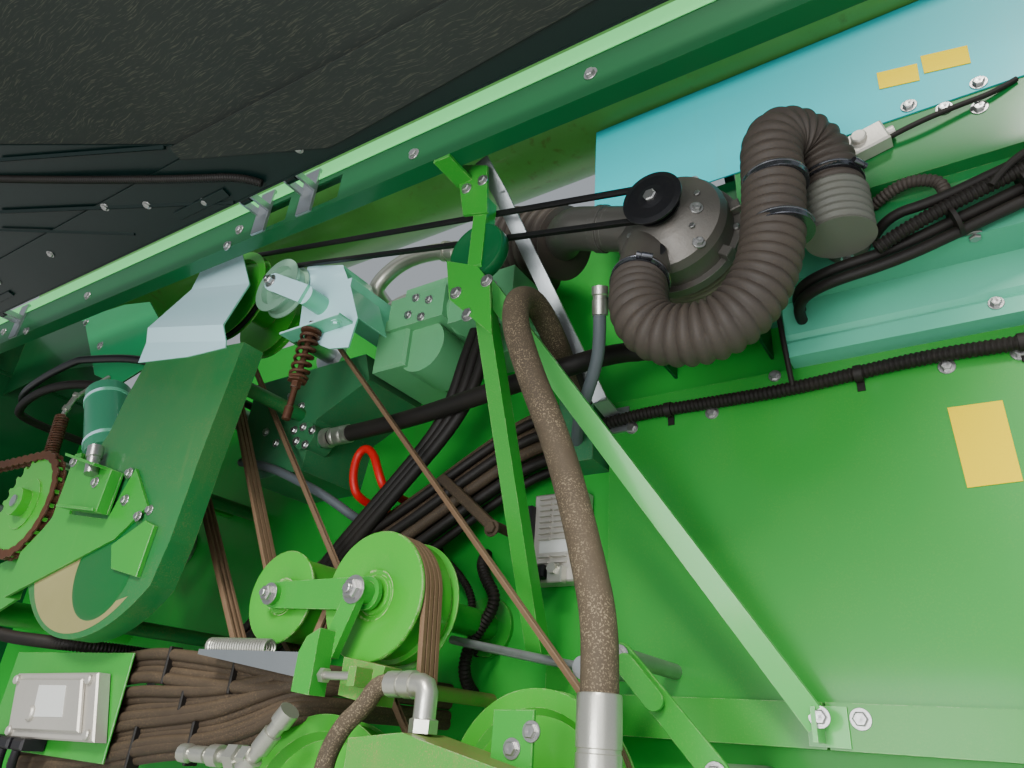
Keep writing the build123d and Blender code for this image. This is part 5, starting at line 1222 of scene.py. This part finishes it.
class BAY_OT_linkage(bpy.types.Operator):
    """Rods, link bars and brackets round the lower sheaves"""

    bl_idname = "bay.linkage"
    bl_label = "Linkage"

    def execute(self, context):
        rods = [run(((499, -250, 146), (640, -275, 122), (784, -300, 99)), 7, 14),
                run(((499, -250, 146), (499, -180, 146), (499, WALL, 146)), 7, 14),
                lathe((784, -300, 99), BACK, ((AXIS, -10), (16, -10), (16, 10), (AXIS, 196)), 20)]
        piece("long_rod", rods, "zinc")
        bars = [strap((853, -330, 113), (979, -330, -20), 34, 6), strap((865, -344, 101), (905, -344, 58), 28, 6)]
        piece("link_bars", bars, "bright green")
        pins = [bolt((853, -333, 113), FRONT, 17), bolt((979, -333, -20), FRONT, 17),
                straight_bar((853, -330, 113), BACK, 12, 226, 16),
                straight_bar((979, -330, -20), BACK, 12, 226, 16)]
        piece("link_pins", pins, "bolt steel")
        top = [run(((440, -250, 870), (440, -250, 950), (410, -250, 1000), (343, -250, 1026), (270, -250, 1036),
                    (216, -250, 1030), (160, -250, 1000), (142, -250, 960), (142, WALL, 940)), 20, 18),
               run(((340, -262, 850), (334, -262, 890), (280, -262, 905), (188, -262, 880), (130, -262, 900),
                    (119, -262, 950), (119, WALL, 960)),
                   15, 16),
               spun((440, -250, 880), UP, ((28, 0), (28, 20), (24, 22), (24, 30), (27, 31), (27, 52)), 6),
               spun((400, -250, 1003), (-0.9, 0, 0.35), ((25, 0), (25, 14), (22, 15), (22, 30), (25, 31), (25, 44)),
                    20)]
        piece("pump_pipes", top, "fitting")
        block = [box((300, -300, 842), (420, -180, 900), 6), box((180, -290, 820), (300, -200, 868), 6),
                 spun((240, -245, 866), UP, ((34, 0), (34, 10), (26, 14), (26, 30)), 28),
                 box((236, -300, 700), (330, -110, 830), 6)]
        piece("pump_top", block, "pump green")
        ring = ((AXIS, 0), (46, 0), (50, -2), (56, -2), (58, 1), (58, 19), (56, 22), (50, 22), (46, 20), (AXIS, 20))
        piece("post_ring", lathe((635, -471, 776), BACK, ring, 48), "rail green")
        tee = [spun((166, -486, -56), (1, 0, 0.02), ((14, 0), (14, 18), (9, 20), (9, 30), (12, 31), (12, 62), (9, 63),
                                                     (9, 74), (16, 75), (16, 98), (10, 99), (10, 124)), 12),
               spun((286, -486, -53), (1, 0, 0.02), ((19, 0), (19, 22), (13, 24), (13, 30), (18, 31), (18, 50)), 6),
               spun((326, -486, -62), (74, 0, 82), ((16, -8), (16, 14), (11, 15), (11, 30), (15, 31), (15, 62),
                                                    (12, 63), (12, 80), (16, 81), (16, 104)), 12),
               box((194, -478, -61), (206, WALL, -50), 1)]
        elbow = [run(((650, -486, -1), (650, -486, 34), (650, -486, 56), (626, -486, 56), (584, -486, 56)), 15, 24),
                 spun((650, -486, -1.5), UP, ((19, 0), (19, 16), (15, 18)), 6),
                 spun((628, -486, 56), (-1, 0, 0), ((18, 0), (18, 16), (15, 18), (15, 22), (17, 23), (17, 44)), 12)]
        rod = [straight_bar((450.5, -490, 64), RIGHT, 6, 67, 14),
               straight_bar((454, -490, 64), RIGHT, 11, 9, 6)]
        piece("pipe_fittings", tee + elbow + rod, "fitting", stands_for="hose_fittings")
        front = [prism(((749, 32), (808, 34), (808, -30), (749, -30)), -474, -468, 1),
                 box((772, -470, -34), (786, -440, -24), 1), box((749, -474, -34), (808, -440, -29), 1)]
        piece("fan_bracket", front, "bright green")
        piece("fan_bracket_bolts", [bolt((806, -474, 10), FRONT, 15), bolt((780, -474, -10), FRONT, 15)], "bolt steel")
        back = [(-404, 508), (-256, 463), (-189, 441), (-196, 352), (-358, 378)]
        u_parts = [prism(back, -543, -537.2, 1), prism(((-404, 508), (-256, 463), (-258, 457), (-402, 501)), -574, -543,
                                                       1),
                   prism(((-358, 378), (-196, 352), (-197, 358), (-358, 384)), -574, -543, 1),
                   prism(((-189, 441), (-196, 352), (-202, 352), (-195, 441)), -566, -543, 1)]
        piece("canister_bracket", u_parts, "bright green")
        u_bolts = [bolt((x, -543, z), FRONT, 15) for x, z in ((-286, 432), (-222, 428), (-222, 378))]
        u_bolts.append(spun((-300, -555, 470), (-0.26, 0.0, 0.96), ((14, -22), (14, 16), (17, 18), (17, 44)), 20))
        piece("canister_foot", u_bolts, "bolt steel")
        for name, x, z, r, hub in (("large_idler_face", 473, 189, 100, 36), ("small_idler_face", 255, 194, 78, 28)):
            dish = ((hub - 8, 8), (hub, 8), (hub + 8, 1.2), (r - 8, 0.2), (r, 0.6), (r + 1.4, 2.0), (r - 4, 2.6),
                    (hub + 8, 3.4), (hub - 8, 9.4))
            piece(name, lathe_ring((x, -433.4, z), BACK, dish, 72), "pulley green",
                  body=f"idler_{name.split('_')[0]}_turning", smooth=40)
        bands = [lathe((-490 - 110 * t, -440, 560 + 192 * t), (-110, 0, 192),
                       ((56, -5), (58.5, -5), (58.5, 5), (56, 5)), 40)
                 for t in (0.16, 0.84)]
        piece("canister_bands", bands, "pale green")
        return {"FINISHED"}


class BAY_PT_panel(bpy.types.Panel):
    """Sidebar panel that lists the bay's steps and settings"""

    bl_idname = "BAY_PT_panel"
    bl_label = "Drive Bay"
    bl_space_type = "VIEW_3D"
    bl_region_type = "UI"
    bl_category = "Bay"

    def draw(self, context):
        for operator in OPERATORS:
            self.layout.operator(operator.bl_idname)
        for name in BaySettings.__annotations__:
            self.layout.prop(context.scene.bay, name)


OPERATORS = (BAY_OT_finishes, BAY_OT_stage, BAY_OT_duct, BAY_OT_hoses, BAY_OT_belts, BAY_OT_springs, BAY_OT_fasteners,
             BAY_OT_looms, BAY_OT_cover, BAY_OT_plates, BAY_OT_linkage)
CLASSES = (BaySettings, *OPERATORS, BAY_PT_panel)


def register():
    """Register the classes and give each scene its settings."""
    for made in CLASSES:
        bpy.utils.register_class(made)
    bpy.types.Scene.bay = PointerProperty(type=BaySettings)


def unregister():
    """Take the settings and classes away again."""
    del bpy.types.Scene.bay
    for made in reversed(CLASSES):
        bpy.utils.unregister_class(made)


def main():
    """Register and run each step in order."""
    register()
    for operator in OPERATORS:
        family, name = operator.bl_idname.split(".")
        getattr(getattr(bpy.ops, family), name)()


if __name__ == "__main__":
    main()
